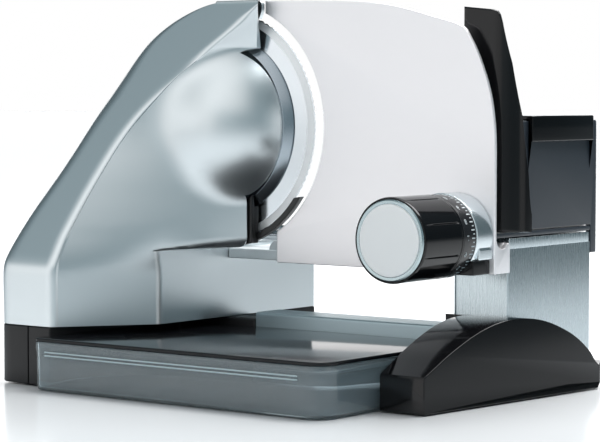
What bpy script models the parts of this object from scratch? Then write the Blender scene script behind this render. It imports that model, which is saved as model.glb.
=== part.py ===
# Electric food slicer: motor tower with a geared round blade, sliding stop plate with its
# thickness knob, food carriage on two rails, hand guard, left-over pusher, and a catch tray.
# Metres, +Z up. X runs along the blade plane towards the column, Y runs to the food side.
# All coordinates below are measured from the table point under the blade's axis.

import math

import bmesh
import bpy
from mathutils import Vector

# Clearances
GAP = 0.0003                    # between neighbours that touch
RUN = 0.0010                    # round sliding and turning pieces that must not rub

# Blade and its drive
BLADE_Z = 0.1890                # height of the blade's axis
BLADE_R = 0.0850
BLADE_T = 0.0022                # the food side of the blade lies at Y = 0
BEVEL_W = 0.0066                # width of the ground edge
AXLE_R = 0.0050
CONE_OUT_R = 0.0670             # silver cone that carries the blade
WHEEL_R = 0.0398                # worm wheel
WHEEL_T = 0.0080
WHEEL_Y = -0.0240               # middle plane of the worm wheel
WORM_R = 0.0052
WORM_LENGTH = 0.0400
LOCK_R = 0.0140                 # blade lock on the food side
MOTOR_X = -(WHEEL_R + WORM_R + GAP)
MOTOR_R = 0.0270
MOTOR_BOTTOM = 0.0500
MOTOR_TOP = 0.0880
MOTOR_ROOM = 0.0013             # between the motor and the tower's right wall
SHAFT_R = 0.0035
SHAFT_TOP = BLADE_Z + 0.0310

# Tower
WALL = 0.0030
TOWER_LEFT = -0.1165
TOWER_FRONT = -0.1245
TOWER_RIGHT = MOTOR_X + MOTOR_R + MOTOR_ROOM + WALL
TOWER_BACK = 0.1300
TOWER_EDGE_Y = -0.0590          # rounded upright edge at the right of the tower's front
TOWER_CORNER = 0.0160           # rounding of the left front corner, also of the base
TOWER_BASE_Z = 0.0440
DECK_Z = 0.1005                 # top of the tower's rear half, under the carriage
HEAD_COVER = 0.0070             # how far the head rises over the blade
TOWER_TOP = BLADE_Z + BLADE_R + HEAD_COVER
BLADE_COVER_R = BLADE_R + 0.0030
LEAN_START = 0.0880             # above this the front leans back
SHOULDER = 0.0020
HEAD_TOP_FRONT = -0.0139
LEAN = (HEAD_TOP_FRONT - TOWER_FRONT) / (TOWER_TOP - LEAN_START)
HEAD_BACK = -0.0040
HEAD_RIM_Y = -0.0085            # rim plane of the dome, just in front of the blade
DOME_RIM_R = 0.0608
DOME_HEIGHT = 0.0395
PORT_R = 0.0680
SHROUD_RIGHT = 0.0350
SHROUD_FRONT = -0.0130
SHROUD_TOP = 0.1390
SHROUD_RIM_W = 0.0045           # black rim that follows the blade's teeth on the lower right
SHROUD_RIM_FRONT = -0.0060
SHROUD_RIM_BACK = -0.0006

# Base, crossbar and right foot
PAD_H = 0.0022
PAD_R = 0.0100
BASE_BOTTOM = PAD_H + GAP
BASE_INNER = -0.0620            # right side of the base beside the tray
BASE_WALL = 0.0030
BASE_END = 0.0130               # where the base's short arm meets the crossbar
CROSS_FRONT = 0.0190
CROSS_DEPTH = 0.0300
CROSS_TOP = 0.0490
FOOT_INNER = 0.2015
FOOT_OUTER = 0.2380             # the outer side at the front; it spreads towards the back
FOOT_SPREAD = 0.0165
FOOT_SIDE = 0.1850              # left side of the foot behind the tray
FOOT_BOTTOM = 0.0010
FOOT_FRONT = -0.0820
FOOT_TURN_Y = 0.1130            # where the outer side turns in again
FOOT_BACK = 0.1400
FOOT_TIP_H = 0.0258
FOOT_PEAK_Y = 0.0180
FOOT_PEAK_Z = 0.0578
FOOT_TAIL_H = 0.0180

# Column, bridge and rails
COLUMN_LEFT = 0.1890
COLUMN_RIGHT = 0.2360
COLUMN_FRONT = 0.0215
COLUMN_BACK = 0.1315
COLUMN_BOTTOM = 0.0100
COLUMN_TOP = 0.1125
COLUMN_WALL = 0.0025
NOTCH = 0.0018                  # small steps along the column's two top edges
NOTCH_H = 0.0070
BRIDGE_FRONT = 0.0195
BRIDGE_BACK = 0.1080
BRIDGE_BOTTOM = 0.0885
BRIDGE_TOP = 0.0965
APRON_LEFT = 0.0330
APRON_TOP = 0.1105
APRON_T = 0.0040
RAIL_R = 0.0040
RAIL_Z = 0.1055
RAIL_FRONT_Y = 0.0450
RAIL_BACK_Y = 0.1000

# Stop plate
PLATE_T = 0.0030                # its food side lies at Y = 0, in the plane of the blade's edge
PLATE_RIGHT = 0.2410
PLATE_BOTTOM = 0.0890
SLICE_GAP = 0.0052              # least gap round the blade in the stop plate's cut-out
PLATE_CUT_R = BLADE_R + SLICE_GAP
PLATE_CUT_X = 0.0039            # the cut-out's centre lies beside the blade's axis
PLATE_CUT_LEFT = 0.0510
PLATE_TOP_LEFT = 0.0402
PLATE_TRAVEL = 0.0200
FLANGE_DEPTH = 0.0170
FLANGE_TOP = 0.1080
GUIDE_LEFT = 0.1960
GUIDE_RIGHT = 0.2370
GUIDE_BOTTOM = 0.0895
GUIDE_TOP = 0.0995
GUIDE_FRONT = -0.0230
GUIDE_BACK = 0.0600
ROD_R = 0.0025
ROD_X = 0.0700

# Thickness knob
KNOB_X = 0.2106
KNOB_Z = 0.1155
KNOB_R = 0.0290
KNOB_FRONT = -0.0830
KNOB_WALL = 0.0028
SCALE_R = 0.0290
SCALE_W = 0.0140
CAP_R = 0.0245
COLLAR_R = 0.0296
COLLAR_FRONT = -0.0230
COLLAR_WALL = 0.0050
DRUM_R = 0.0100
DRUM_FRONT = -0.0420
PIVOT_R = 0.0030
PIN_R = 0.0014

# Carriage and pusher
TABLE_LEFT = 0.1000
TABLE_FRONT = 0.0030
TABLE_BACK = 0.1319
TABLE_BOTTOM = 0.1132
TABLE_T = 0.0038
WALL_RIGHT = 0.2360
PUSH_WALL_T = 0.0045
PUSH_WALL_FRONT = 0.0125
PUSH_WALL_BACK = 0.1400
PUSH_WALL_TOP = 0.1940
PUSH_WALL_TAIL = 0.0970
GUARD_T = 0.0040
GUARD_FRONT = 0.0070
GUARD_BEND_X = 0.2320
GUARD_BEND_R = 0.0200
GUARD_LEFT = 0.2080
GUARD_TOP = 0.2730
SHOE_L = 0.0160
CLIP_FRONT = 0.0470
CLIP_BACK = 0.1300
CLIP_T = 0.0032
CLIP_DROP = 0.0150
PUSHER_Y = 0.0300
PUSHER_LEFT = 0.1300
PUSHER_T = 0.0040
PUSHER_ARM_W = 0.0200
PUSHER_ARM_Z = 0.1500

# Catch tray and lid
TRAY_LEFT = -0.0605
TRAY_RIGHT = 0.2005
TRAY_FRONT = -0.1430
TRAY_BACK = CROSS_FRONT - GAP    # pushed home against the crossbar
TRAY_BOTTOM = 0.0005
TRAY_TOP = 0.0380
TRAY_WALL = 0.0020
TRAY_CORNER = 0.0180            # at the right; the left corners are tighter
TRAY_LEFT_CORNER = 0.0050
LID_T = 0.0024

# Rear cover
COVER_LEFT = -0.0950
COVER_RIGHT = -0.0280
COVER_LOW = 0.0520
COVER_HIGH = 0.0900
INLET_R = 0.0050

# Switch
SWITCH_Y = -0.0700
SWITCH_Z = 0.0680
SWITCH_W = 0.0240
SWITCH_H = 0.0140
SWITCH_PROUD = 0.0020

# The whole slicer's box decides where its own origin lies: under the middle of that box.
GUARD_RIGHT = GUARD_BEND_X + GUARD_BEND_R
CENTRE_X = (TOWER_LEFT - SWITCH_PROUD + max(GUARD_RIGHT, FOOT_OUTER + FOOT_SPREAD)) / 2
CENTRE_Y = (TRAY_FRONT + FOOT_BACK) / 2

ROUND_STEPS = 48


# Scene helpers

def clear_scene():
    for ob in list(bpy.data.objects):
        bpy.data.objects.remove(ob, do_unlink=True)


def new_collection(name):
    collection = bpy.data.collections.new(name)
    bpy.context.scene.collection.children.link(collection)
    return collection


def new_material(name, colour, roughness, metallic, alpha=1.0):
    material = bpy.data.materials.new(name)
    material.use_nodes = True
    shader = material.node_tree.nodes["Principled BSDF"]
    shader.inputs["Base Color"].default_value = (*colour, 1.0)
    shader.inputs["Roughness"].default_value = roughness
    shader.inputs["Metallic"].default_value = metallic
    shader.inputs["Alpha"].default_value = alpha
    return material


def new_group(name, location, parent=None):
    """An empty that carries one moving body, standing on that body's joint axis."""
    empty = bpy.data.objects.new(name, None)
    empty.empty_display_size = 0.02
    PARTS.objects.link(empty)
    empty.parent = parent
    empty["place"] = tuple(location)
    origin = Vector(parent["place"]) if parent else Vector((0, 0, 0))
    empty.location = Vector(location) - origin
    return empty


def add_object(name, mesh, location, group, material):
    ob = bpy.data.objects.new(name, mesh)
    PARTS.objects.link(ob)
    ob.parent = group
    ob.location = Vector(location) - Vector(group["place"])
    if material:
        mesh.materials.append(material)
    return ob


def shade_round(ob, degrees=35):
    ob.data.shade_smooth()
    ob.data.set_sharp_from_angle(angle=math.radians(degrees))
    return ob


def add_bevel(ob, width, segments=2, degrees=40):
    bevel = ob.modifiers.new("Rounded edges", "BEVEL")
    bevel.width = width
    bevel.segments = segments
    bevel.limit_method = "ANGLE"
    bevel.angle_limit = math.radians(degrees)
    return ob


def add_boolean(ob, tool, operation="DIFFERENCE"):
    """Cut, join or cross an object with a tool that moves to the cutters collection."""
    boolean = ob.modifiers.new(operation.title(), "BOOLEAN")
    boolean.operation = operation
    boolean.object = tool
    for collection in list(tool.users_collection):
        collection.objects.unlink(tool)
    CUTTERS.objects.link(tool)
    tool.hide_render = True
    tool.display_type = "WIRE"
    return ob


# Shape helpers: every size is given as world (low, high) pairs or radii

def block(name, x, y, z, group, material=None, bevel=0.0, segments=2):
    bm = bmesh.new()
    bmesh.ops.create_cube(bm, size=1.0)
    size = Vector((x[1] - x[0], y[1] - y[0], z[1] - z[0]))
    bmesh.ops.scale(bm, vec=size, verts=bm.verts)
    mesh = bpy.data.meshes.new(name)
    bm.to_mesh(mesh)
    bm.free()
    centre = ((x[0] + x[1]) / 2, (y[0] + y[1]) / 2, (z[0] + z[1]) / 2)
    ob = add_object(name, mesh, centre, group, material)
    if bevel:
        add_bevel(ob, bevel, segments)
    return ob


AXIS_TURN = {
    "X": (0.0, math.pi / 2, 0.0),       # local Z to world +X
    "Y": (-math.pi / 2, 0.0, 0.0),      # local Z to world +Y
    "Z": (0.0, 0.0, 0.0),
}


def rod(name, axis, radius, low, high, centre, group, material=None, steps=24):
    """A round bar from low to high along an axis, through the centre point."""
    bm = bmesh.new()
    bmesh.ops.create_cone(bm, cap_ends=True, segments=steps, radius1=radius, radius2=radius,
                          depth=high - low)
    mesh = bpy.data.meshes.new(name)
    bm.to_mesh(mesh)
    bm.free()
    place = list(centre)
    place["XYZ".index(axis)] = (low + high) / 2
    ob = add_object(name, mesh, place, group, material)
    ob.rotation_euler = AXIS_TURN[axis]
    return shade_round(ob)


def turned(name, axis, profile, centre, group, material=None, steps=ROUND_STEPS, closed=True):
    """A profile of (radius, place along the axis), turned round the axis through the centre.
    A ring's profile closes on itself; a solid's begins and ends on the axis."""
    mesh = bpy.data.meshes.new(name)
    turn = sum(a[0] * b[1] - b[0] * a[1] for a, b in zip(profile, profile[1:] + profile[:1]))
    outward = profile if turn < 0 else profile[::-1]
    points = [(radius, 0.0, along) for radius, along in outward]
    edges = [(i, i + 1) for i in range(len(points) - 1)]
    if closed:
        edges.append((len(points) - 1, 0))
    mesh.from_pydata(points, edges, [])
    place = list(centre)
    place["XYZ".index(axis)] = 0.0
    ob = add_object(name, mesh, place, group, material)
    ob.rotation_euler = AXIS_TURN[axis]
    screw = ob.modifiers.new("Turn", "SCREW")
    screw.steps = steps
    screw.render_steps = steps
    screw.use_merge_vertices = True
    screw.merge_threshold = 0.00001
    screw.use_smooth_shade = False
    return ob


def outline_solid(name, axis, outline, low, high, group, material=None, holes=(), bevel=0.0,
                  segments=2):
    """A flat outline, extruded from low to high. Its points are (y, z), (x, z) or (x, y)
    for the axes X, Y and Z."""
    curve = bpy.data.curves.new(name, "CURVE")
    curve.dimensions = "2D"
    curve.fill_mode = "BOTH"
    curve.extrude = (high - low) / 2
    for loop in (outline, *holes):
        spline = curve.splines.new("POLY")
        spline.points.add(len(loop) - 1)
        for point, (u, v) in zip(spline.points, loop):
            point.co = (u, v, 0.0, 1.0)
        spline.use_cyclic_u = True
    curve_ob = bpy.data.objects.new(name + "_outline", curve)
    PARTS.objects.link(curve_ob)
    graph = bpy.context.evaluated_depsgraph_get()
    mesh = bpy.data.meshes.new_from_object(curve_ob.evaluated_get(graph))
    bpy.data.objects.remove(curve_ob, do_unlink=True)
    bm = bmesh.new()
    bm.from_mesh(mesh)
    bmesh.ops.remove_doubles(bm, verts=bm.verts, dist=0.000001)
    middle = (low + high) / 2
    for vert in bm.verts:
        u, v, w = vert.co
        if axis == "X":
            vert.co = (w + middle, u, v)
        elif axis == "Y":
            vert.co = (u, w + middle, v)
        else:
            vert.co = (u, v, w + middle)
    bm.normal_update()
    bmesh.ops.recalc_face_normals(bm, faces=bm.faces)
    bm.to_mesh(mesh)
    bm.free()
    mesh.name = name
    mesh.materials.clear()
    ob = add_object(name, mesh, (0, 0, 0), group, material)
    if bevel:
        add_bevel(ob, bevel, segments)
    return ob


def arc(centre, radius, start, end, steps):
    """Points on an arc in the outline's plane, angles in degrees."""
    points = []
    for i in range(steps + 1):
        angle = math.radians(start + (end - start) * i / steps)
        points.append((centre[0] + radius * math.cos(angle), centre[1] + radius * math.sin(angle)))
    return points


def smooth_value(table, at):
    """A smooth curve through a few (place, value) points."""
    if at <= table[0][0]:
        return table[0][1]
    if at >= table[-1][0]:
        return table[-1][1]
    slopes = []
    for i in range(len(table)):
        before, after = table[max(i - 1, 0)], table[min(i + 1, len(table) - 1)]
        slopes.append((after[1] - before[1]) / (after[0] - before[0]))
    i = max(k for k in range(len(table) - 1) if table[k][0] <= at)
    (a, va), (b, vb) = table[i], table[i + 1]
    t = (at - a) / (b - a)
    step = b - a
    return ((2 * t ** 3 - 3 * t ** 2 + 1) * va + (t ** 3 - 2 * t ** 2 + t) * step * slopes[i]
            + (3 * t ** 2 - 2 * t ** 3) * vb + (t ** 3 - t ** 2) * step * slopes[i + 1])


# Tower shape: level outlines from the base to the top of the head. The tables give shares of
# the leaning part's height and of the tower's whole width.

HEAD_SHOULDER = LEAN_START + SHOULDER
HEAD_TIP_RIGHT = 0.0410
HEAD_TOP_RIGHT = 0.0374
HEAD_NOTCH_X = 0.0300
HEAD_NOTCH_LOW = SHROUD_TOP + 0.0005
HEAD_NOTCH_HIGH = BLADE_Z + 0.0545
LIP_Z = BLADE_Z - BLADE_R - 0.0030
LIP_H = 0.0030
LEFT_EDGE = [(0.0, 0.0), (0.157, 0.049), (0.348, 0.149), (0.555, 0.245), (0.696, 0.333),
             (0.832, 0.422), (0.906, 0.517), (0.961, 0.636), (0.990, 0.743), (1.0, 0.848)]
RIDGE = [(0.0, 0.364), (0.166, 0.361), (0.316, 0.383), (0.482, 0.458), (0.663, 0.588),
         (0.793, 0.744), (0.902, 0.907), (0.984, 0.978), (1.0, 0.981)]


def across(share):
    return TOWER_LEFT + (HEAD_TOP_RIGHT - TOWER_LEFT) * share


def left_edge(z):
    return across(smooth_value(LEFT_EDGE, (z - HEAD_SHOULDER) / (TOWER_TOP - HEAD_SHOULDER)))


def ridge_line(z):
    return across(smooth_value(RIDGE, (z - LEAN_START) / (TOWER_TOP - LEAN_START)))


def back_edge(z):
    """The tower's left side in the plane behind the blade, where it widens to cover the blade."""
    rise = BLADE_COVER_R ** 2 - (z - BLADE_Z) ** 2
    return min(left_edge(z), -math.sqrt(max(rise, 0.0)))


def side_wall(z, y):
    """Where the tower's left side stands at a height and a depth."""
    front = TOWER_FRONT + max(z - LEAN_START, 0.0) * LEAN
    share = (y - front) / (HEAD_BACK - front)
    return left_edge(z) + (back_edge(z) - left_edge(z)) * share


def between(low, high, count):
    """Evenly spaced heights strictly between two heights."""
    return [low + (high - low) * i / (count + 1) for i in range(1, count + 1)]


def offset_corners(corners, inset):
    """Move each side of a polygon inwards, keeping the corner radii and their steps."""
    count = len(corners)
    area = sum(corners[i][0] * corners[(i + 1) % count][1]
               - corners[(i + 1) % count][0] * corners[i][1] for i in range(count))
    side = 1.0 if area > 0 else -1.0
    moved = []
    for i in range(count):
        here = Vector(corners[i][:2])
        back = (here - Vector(corners[i - 1][:2])).normalized()
        ahead = (Vector(corners[(i + 1) % count][:2]) - here).normalized()
        normal_a = Vector((-back.y, back.x)) * side
        normal_b = Vector((-ahead.y, ahead.x)) * side
        share = inset / max(1.0 + normal_a.dot(normal_b), 0.2)
        point = here + (normal_a + normal_b) * share
        moved.append((point.x, point.y, max(corners[i][2] - inset, 0.0006), corners[i][3]))
    return moved


def blunt_tip(corners, least):
    """Where the hollow runs out to a tip, end it while it is still a little thick."""
    ridge, edge, step = corners[1], corners[2], corners[3]
    limit = step[1] - least
    if edge[1] > limit:
        share = (limit - ridge[1]) / (edge[1] - ridge[1])
        x = ridge[0] + (edge[0] - ridge[0]) * share
        corners[2] = (x, limit, edge[2], edge[3])
        corners[3] = (x, step[1], step[2], step[3])
    return corners


def round_corners(corners):
    """Replace each corner (x, y, radius, steps) by an arc-like run of steps + 1 points."""
    points = []
    count = len(corners)
    for i in range(count):
        here = Vector(corners[i][:2])
        radius, steps = corners[i][2], corners[i][3]
        before = Vector(corners[i - 1][:2]) - here
        after = Vector(corners[(i + 1) % count][:2]) - here
        if steps == 0:
            points.append(here)
            continue
        bend = before.angle(after) / 2
        reach = min(radius / max(math.tan(bend), 0.1), before.length * 0.45, after.length * 0.45)
        start = here + before.normalized() * reach
        end = here + after.normalized() * reach
        for k in range(steps + 1):
            t = k / steps
            points.append(start * (1 - t) ** 2 + here * (2 * t * (1 - t)) + end * t ** 2)
    return points


def tower_corners(z):
    """The level outline of the tower's front half: left front corner, ridge, right edge, back."""
    left = left_edge(z)
    front = TOWER_FRONT + max(z - LEAN_START, 0.0) * LEAN
    ridge = ridge_line(z)
    if z <= LIP_Z:
        edge, step = (TOWER_RIGHT, TOWER_EDGE_Y), TOWER_RIGHT
    elif z < HEAD_NOTCH_LOW:
        edge, step = (SHROUD_RIGHT, SHROUD_FRONT), SHROUD_RIGHT
    elif z < HEAD_NOTCH_HIGH:
        edge, step = (HEAD_NOTCH_X, HEAD_RIM_Y), HEAD_NOTCH_X
    else:
        share = (z - HEAD_NOTCH_HIGH) / (TOWER_TOP - HEAD_NOTCH_HIGH)
        right = HEAD_TIP_RIGHT + (HEAD_TOP_RIGHT - HEAD_TIP_RIGHT) * share
        edge, step = (right, HEAD_RIM_Y), right
    edge_radius = 0.010 if z <= LIP_Z else 0.002
    return [
        (left, front, min(TOWER_CORNER, 0.3 * (HEAD_BACK - front)), 5),
        (ridge, front, 0.005, 3),
        (*edge, edge_radius, 4),
        (step, HEAD_BACK, 0.0, 0),
        (back_edge(z), HEAD_BACK, 0.0, 0),
    ]


def loft(name, levels, inset, group, material=None):
    """A closed solid through the tower's outlines at the given heights."""
    bm = bmesh.new()
    rings = []
    for z, look in levels:
        corners = tower_corners(look)
        if inset:
            corners = blunt_tip(offset_corners(corners, inset), WALL)
        rings.append([bm.verts.new((p.x, p.y, z)) for p in round_corners(corners)])
    count = len(rings[0])
    for low, high in zip(rings, rings[1:]):
        for i in range(count):
            j = (i + 1) % count
            bm.faces.new((low[i], low[j], high[j], high[i]))
    bm.faces.new(list(reversed(rings[0])))
    bm.faces.new(rings[-1])
    bm.normal_update()
    bmesh.ops.recalc_face_normals(bm, faces=bm.faces)
    mesh = bpy.data.meshes.new(name)
    bm.to_mesh(mesh)
    bm.free()
    return add_object(name, mesh, (0, 0, 0), group, material)


def level_heights():
    """Heights of the outer outlines, each with the height whose outline it takes."""
    lip_top = LIP_Z + LIP_H
    low = [TOWER_BASE_Z + GAP, LEAN_START, (HEAD_SHOULDER + LIP_Z) / 2, LIP_Z, lip_top]
    levels = low + between(lip_top, HEAD_NOTCH_LOW, 2)
    pairs = [(z, z) for z in levels]
    pairs.append((HEAD_NOTCH_LOW, HEAD_NOTCH_LOW - 0.0001))
    step_low = HEAD_NOTCH_LOW + 0.002
    step_high = HEAD_NOTCH_HIGH - 0.001
    head = [step_low] + between(step_low, step_high, 7) + [step_high]
    head += [HEAD_NOTCH_HIGH + 0.003] + between(HEAD_NOTCH_HIGH + 0.003, TOWER_TOP, 5)
    return pairs + [(z, z) for z in head] + [(TOWER_TOP, TOWER_TOP)]


def hollow_heights():
    """The same for the hollow inside, which ends below the tip."""
    lip_top = LIP_Z + LIP_H + WALL
    levels = [LEAN_START, LIP_Z, lip_top] + between(lip_top, HEAD_NOTCH_LOW, 2)
    pairs = [(TOWER_BASE_Z - WALL, TOWER_BASE_Z + GAP)] + [(z, z) for z in levels]
    pairs.append((HEAD_NOTCH_LOW, HEAD_NOTCH_LOW + 0.002))
    low = HEAD_NOTCH_HIGH + 0.003 + WALL
    head = between(HEAD_NOTCH_LOW, HEAD_NOTCH_HIGH, 7) + [low]
    head += between(low, TOWER_TOP - 4 * WALL, 2)
    return pairs + [(z, z) for z in head]


DOME_R = (DOME_RIM_R ** 2 + DOME_HEIGHT ** 2) / (2 * DOME_HEIGHT)
DOME_CENTRE_Y = HEAD_RIM_Y - DOME_HEIGHT + DOME_R
BLADE_AXIS = (0.0, 0.0, BLADE_Z)


def dome_profile(radius, rim_y, steps=10):
    """Half of a round cap: from the rim plane's middle out to the rim and over to the apex."""
    rim_angle = math.acos((DOME_CENTRE_Y - rim_y) / radius)
    points = [(0.0, rim_y)]
    for i in range(steps + 1):
        angle = rim_angle * (1 - i / steps)
        reach = radius * math.sin(angle) if i < steps else 0.0
        points.append((reach, DOME_CENTRE_Y - radius * math.cos(angle)))
    return points


def make_tower(frame, silver, black):
    housing = loft("tower_housing", level_heights(), 0.0, frame, silver)
    inset = GAP
    rear = block("rear_half_add", (TOWER_LEFT + inset, TOWER_RIGHT - inset),
                 (HEAD_BACK - 2 * WALL, TOWER_BACK),
                 (TOWER_BASE_Z + 2 * inset, DECK_Z), frame)
    add_bevel(rear, 0.0015, 1)
    add_boolean(housing, rear, "UNION")
    dome = turned("dome_add", "Y", dome_profile(DOME_R, HEAD_RIM_Y), BLADE_AXIS, frame,
                  steps=56, closed=False)
    add_boolean(housing, dome, "UNION")
    hollow = loft("tower_hollow", hollow_heights(), WALL, frame)
    rear_hollow = block("rear_hollow", (TOWER_LEFT + inset + WALL, TOWER_RIGHT - inset - WALL),
                        (HEAD_BACK - 4 * WALL, TOWER_BACK - WALL),
                        (TOWER_BASE_Z - 2 * WALL, DECK_Z - WALL), frame)
    add_boolean(hollow, rear_hollow, "UNION")
    inner = turned("dome_hollow", "Y", dome_profile(DOME_R - WALL, HEAD_RIM_Y + 0.001, 7),
                   BLADE_AXIS, frame, steps=36, closed=False)
    add_boolean(hollow, inner, "UNION")
    port = rod("port_cut", "Y", PORT_R, HEAD_RIM_Y - 0.0002, 0.01, BLADE_AXIS, frame, steps=48)
    add_boolean(hollow, port, "UNION")
    add_boolean(housing, hollow)
    seat = block("shroud_cut", (TOWER_RIGHT + GAP, 0.06), (SHROUD_FRONT, 0.01),
                 (LIP_Z - 0.0015, SHROUD_TOP), frame)
    add_boolean(housing, seat)
    window = block("switch_cut", (TOWER_LEFT - 0.01, TOWER_LEFT + WALL + 0.004),
                   (SWITCH_Y - SWITCH_W / 2, SWITCH_Y + SWITCH_W / 2),
                   (SWITCH_Z - SWITCH_H / 2, SWITCH_Z + SWITCH_H / 2), frame)
    add_boolean(housing, window)
    back = block("vent_cut", (COVER_LEFT, COVER_RIGHT),
                 (TOWER_BACK - WALL - 0.004, TOWER_BACK + 0.01), (COVER_LOW, COVER_HIGH), frame)
    add_boolean(housing, back)
    shade_round(housing, 30)

    shroud = outline_solid(
        "blade_shroud", "Y",
        [(TOWER_RIGHT + 2 * GAP, LIP_Z + GAP), (SHROUD_RIGHT, LIP_Z + LIP_H),
         (SHROUD_RIGHT, SHROUD_TOP - 2 * GAP), (TOWER_RIGHT + 2 * GAP, SHROUD_TOP - 2 * GAP)],
        SHROUD_FRONT + GAP, HEAD_BACK, frame, black)
    add_boolean(shroud, rod("shroud_round", "Y", PORT_R + GAP, HEAD_RIM_Y - GAP, 0.01, BLADE_AXIS,
                            frame, steps=48))
    rim_low = BLADE_R + RUN
    rim_high = rim_low + SHROUD_RIM_W
    drop = BLADE_Z - (SHROUD_TOP - 2 * GAP)
    rim = (arc((0.0, BLADE_Z), rim_high, -96, -math.degrees(math.asin(drop / rim_high)), 24)
           + arc((0.0, BLADE_Z), rim_low, -math.degrees(math.asin(drop / rim_low)), -96, 24))
    add_boolean(shroud, outline_solid("shroud_rim_add", "Y", rim, SHROUD_RIM_FRONT,
                                      SHROUD_RIM_BACK, frame), "UNION")

    foot = DECK_Z + 0.0010
    heights = [foot] + between(foot, TOWER_TOP, 23)
    edge = [(back_edge(z), z) for z in heights]
    plate = outline_solid("blade_guard_plate", "Y",
                          edge + [(left_edge(TOWER_TOP), TOWER_TOP),
                                  (HEAD_TOP_RIGHT, TOWER_TOP - 0.0015),
                                  (HEAD_TOP_RIGHT, BLADE_Z), (TOWER_RIGHT, BLADE_Z),
                                  (TOWER_RIGHT, foot)],
                          HEAD_BACK + GAP, 0.0, frame, silver)
    add_boolean(plate, rod("blade_clearance_cut", "Y", BLADE_R + 0.0008, -0.01, 0.01, BLADE_AXIS,
                           frame, steps=80))


def make_base(frame, black, steel, rubber):
    arm, arm_back = BASE_END - GAP, CROSS_FRONT + CROSS_DEPTH
    corners = [(TOWER_LEFT, TOWER_FRONT, TOWER_CORNER, 5), (BASE_INNER, TOWER_FRONT, 0.0, 0),
               (BASE_INNER, CROSS_FRONT, 0.0, 0), (arm, CROSS_FRONT, 0.0, 0),
               (arm, arm_back, 0.0, 0), (TOWER_RIGHT, arm_back, 0.0, 0),
               (TOWER_RIGHT, TOWER_BACK, 0.0, 0), (TOWER_LEFT, TOWER_BACK, 0.0, 0)]
    base = outline_solid("base_body", "Z", round_corners(corners), BASE_BOTTOM, TOWER_BASE_Z,
                         frame, black, bevel=0.0015, segments=2)
    w = BASE_WALL
    add_boolean(base, outline_solid("base_hollow", "Z", round_corners(offset_corners(corners, w)),
                                    BASE_BOTTOM - 0.01, TOWER_BASE_Z - w, frame))
    outline_solid("base_cover", "Z", round_corners(offset_corners(corners, w + GAP)),
                  BASE_BOTTOM, BASE_BOTTOM + 0.002, frame, steel)
    inset = 0.018
    pads = ((TOWER_LEFT + inset + 0.006, TOWER_FRONT + inset),
            (TOWER_LEFT + inset + 0.006, TOWER_BACK - inset),
            (TOWER_RIGHT - inset, TOWER_BACK - inset))
    for i, (x, y) in enumerate(pads):
        rod("base_pad_%d" % (i + 1), "Z", PAD_R, 0.0, PAD_H, (x, y, 0), frame, rubber)
    for i, y in enumerate((FOOT_FRONT + inset, FOOT_TURN_Y - inset)):
        rod("foot_pad_%d" % (i + 1), "Z", PAD_R, 0.0, FOOT_BOTTOM - GAP,
            ((FOOT_INNER + FOOT_OUTER) / 2, y, 0), frame, rubber)


def foot_outline():
    """Side view of the foot: a steep tip, a broad arch, and a low tail behind the column."""
    rise, fall = FOOT_PEAK_Y - FOOT_FRONT, FOOT_TURN_Y - FOOT_PEAK_Y
    high = FOOT_PEAK_Z - FOOT_TIP_H
    drop = FOOT_PEAK_Z - FOOT_TAIL_H
    table = [(FOOT_FRONT, FOOT_TIP_H), (FOOT_FRONT + 0.12 * rise, FOOT_TIP_H + 0.20 * high),
             (FOOT_FRONT + 0.29 * rise, FOOT_TIP_H + 0.46 * high),
             (FOOT_FRONT + 0.54 * rise, FOOT_TIP_H + 0.77 * high),
             (FOOT_FRONT + 0.74 * rise, FOOT_TIP_H + 0.93 * high), (FOOT_PEAK_Y, FOOT_PEAK_Z),
             (FOOT_PEAK_Y + 0.31 * fall, FOOT_PEAK_Z - 0.09 * drop),
             (FOOT_PEAK_Y + 0.52 * fall, FOOT_PEAK_Z - 0.22 * drop),
             (FOOT_PEAK_Y + 0.73 * fall, FOOT_PEAK_Z - 0.44 * drop),
             (FOOT_PEAK_Y + 0.90 * fall, FOOT_PEAK_Z - 0.73 * drop),
             (FOOT_TURN_Y, FOOT_TAIL_H + 0.0010), (FOOT_BACK, FOOT_TAIL_H)]
    steps = 20
    top = [(FOOT_BACK, FOOT_TAIL_H)]
    for i in range(steps + 1):
        y = FOOT_TURN_Y + (FOOT_FRONT - FOOT_TURN_Y) * i / steps
        top.append((y, smooth_value(table, y)))
    return [(FOOT_FRONT, FOOT_BOTTOM), (FOOT_BACK, FOOT_BOTTOM)] + top


def spread_foot(mesh):
    """Turn the flat outer side outwards, the further back the more."""
    middle = (FOOT_INNER + FOOT_OUTER) / 2
    for vert in mesh.vertices:
        if vert.co.x > middle:
            share = (vert.co.y - FOOT_FRONT) / (FOOT_TURN_Y - FOOT_FRONT)
            vert.co.x += FOOT_SPREAD * share


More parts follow.
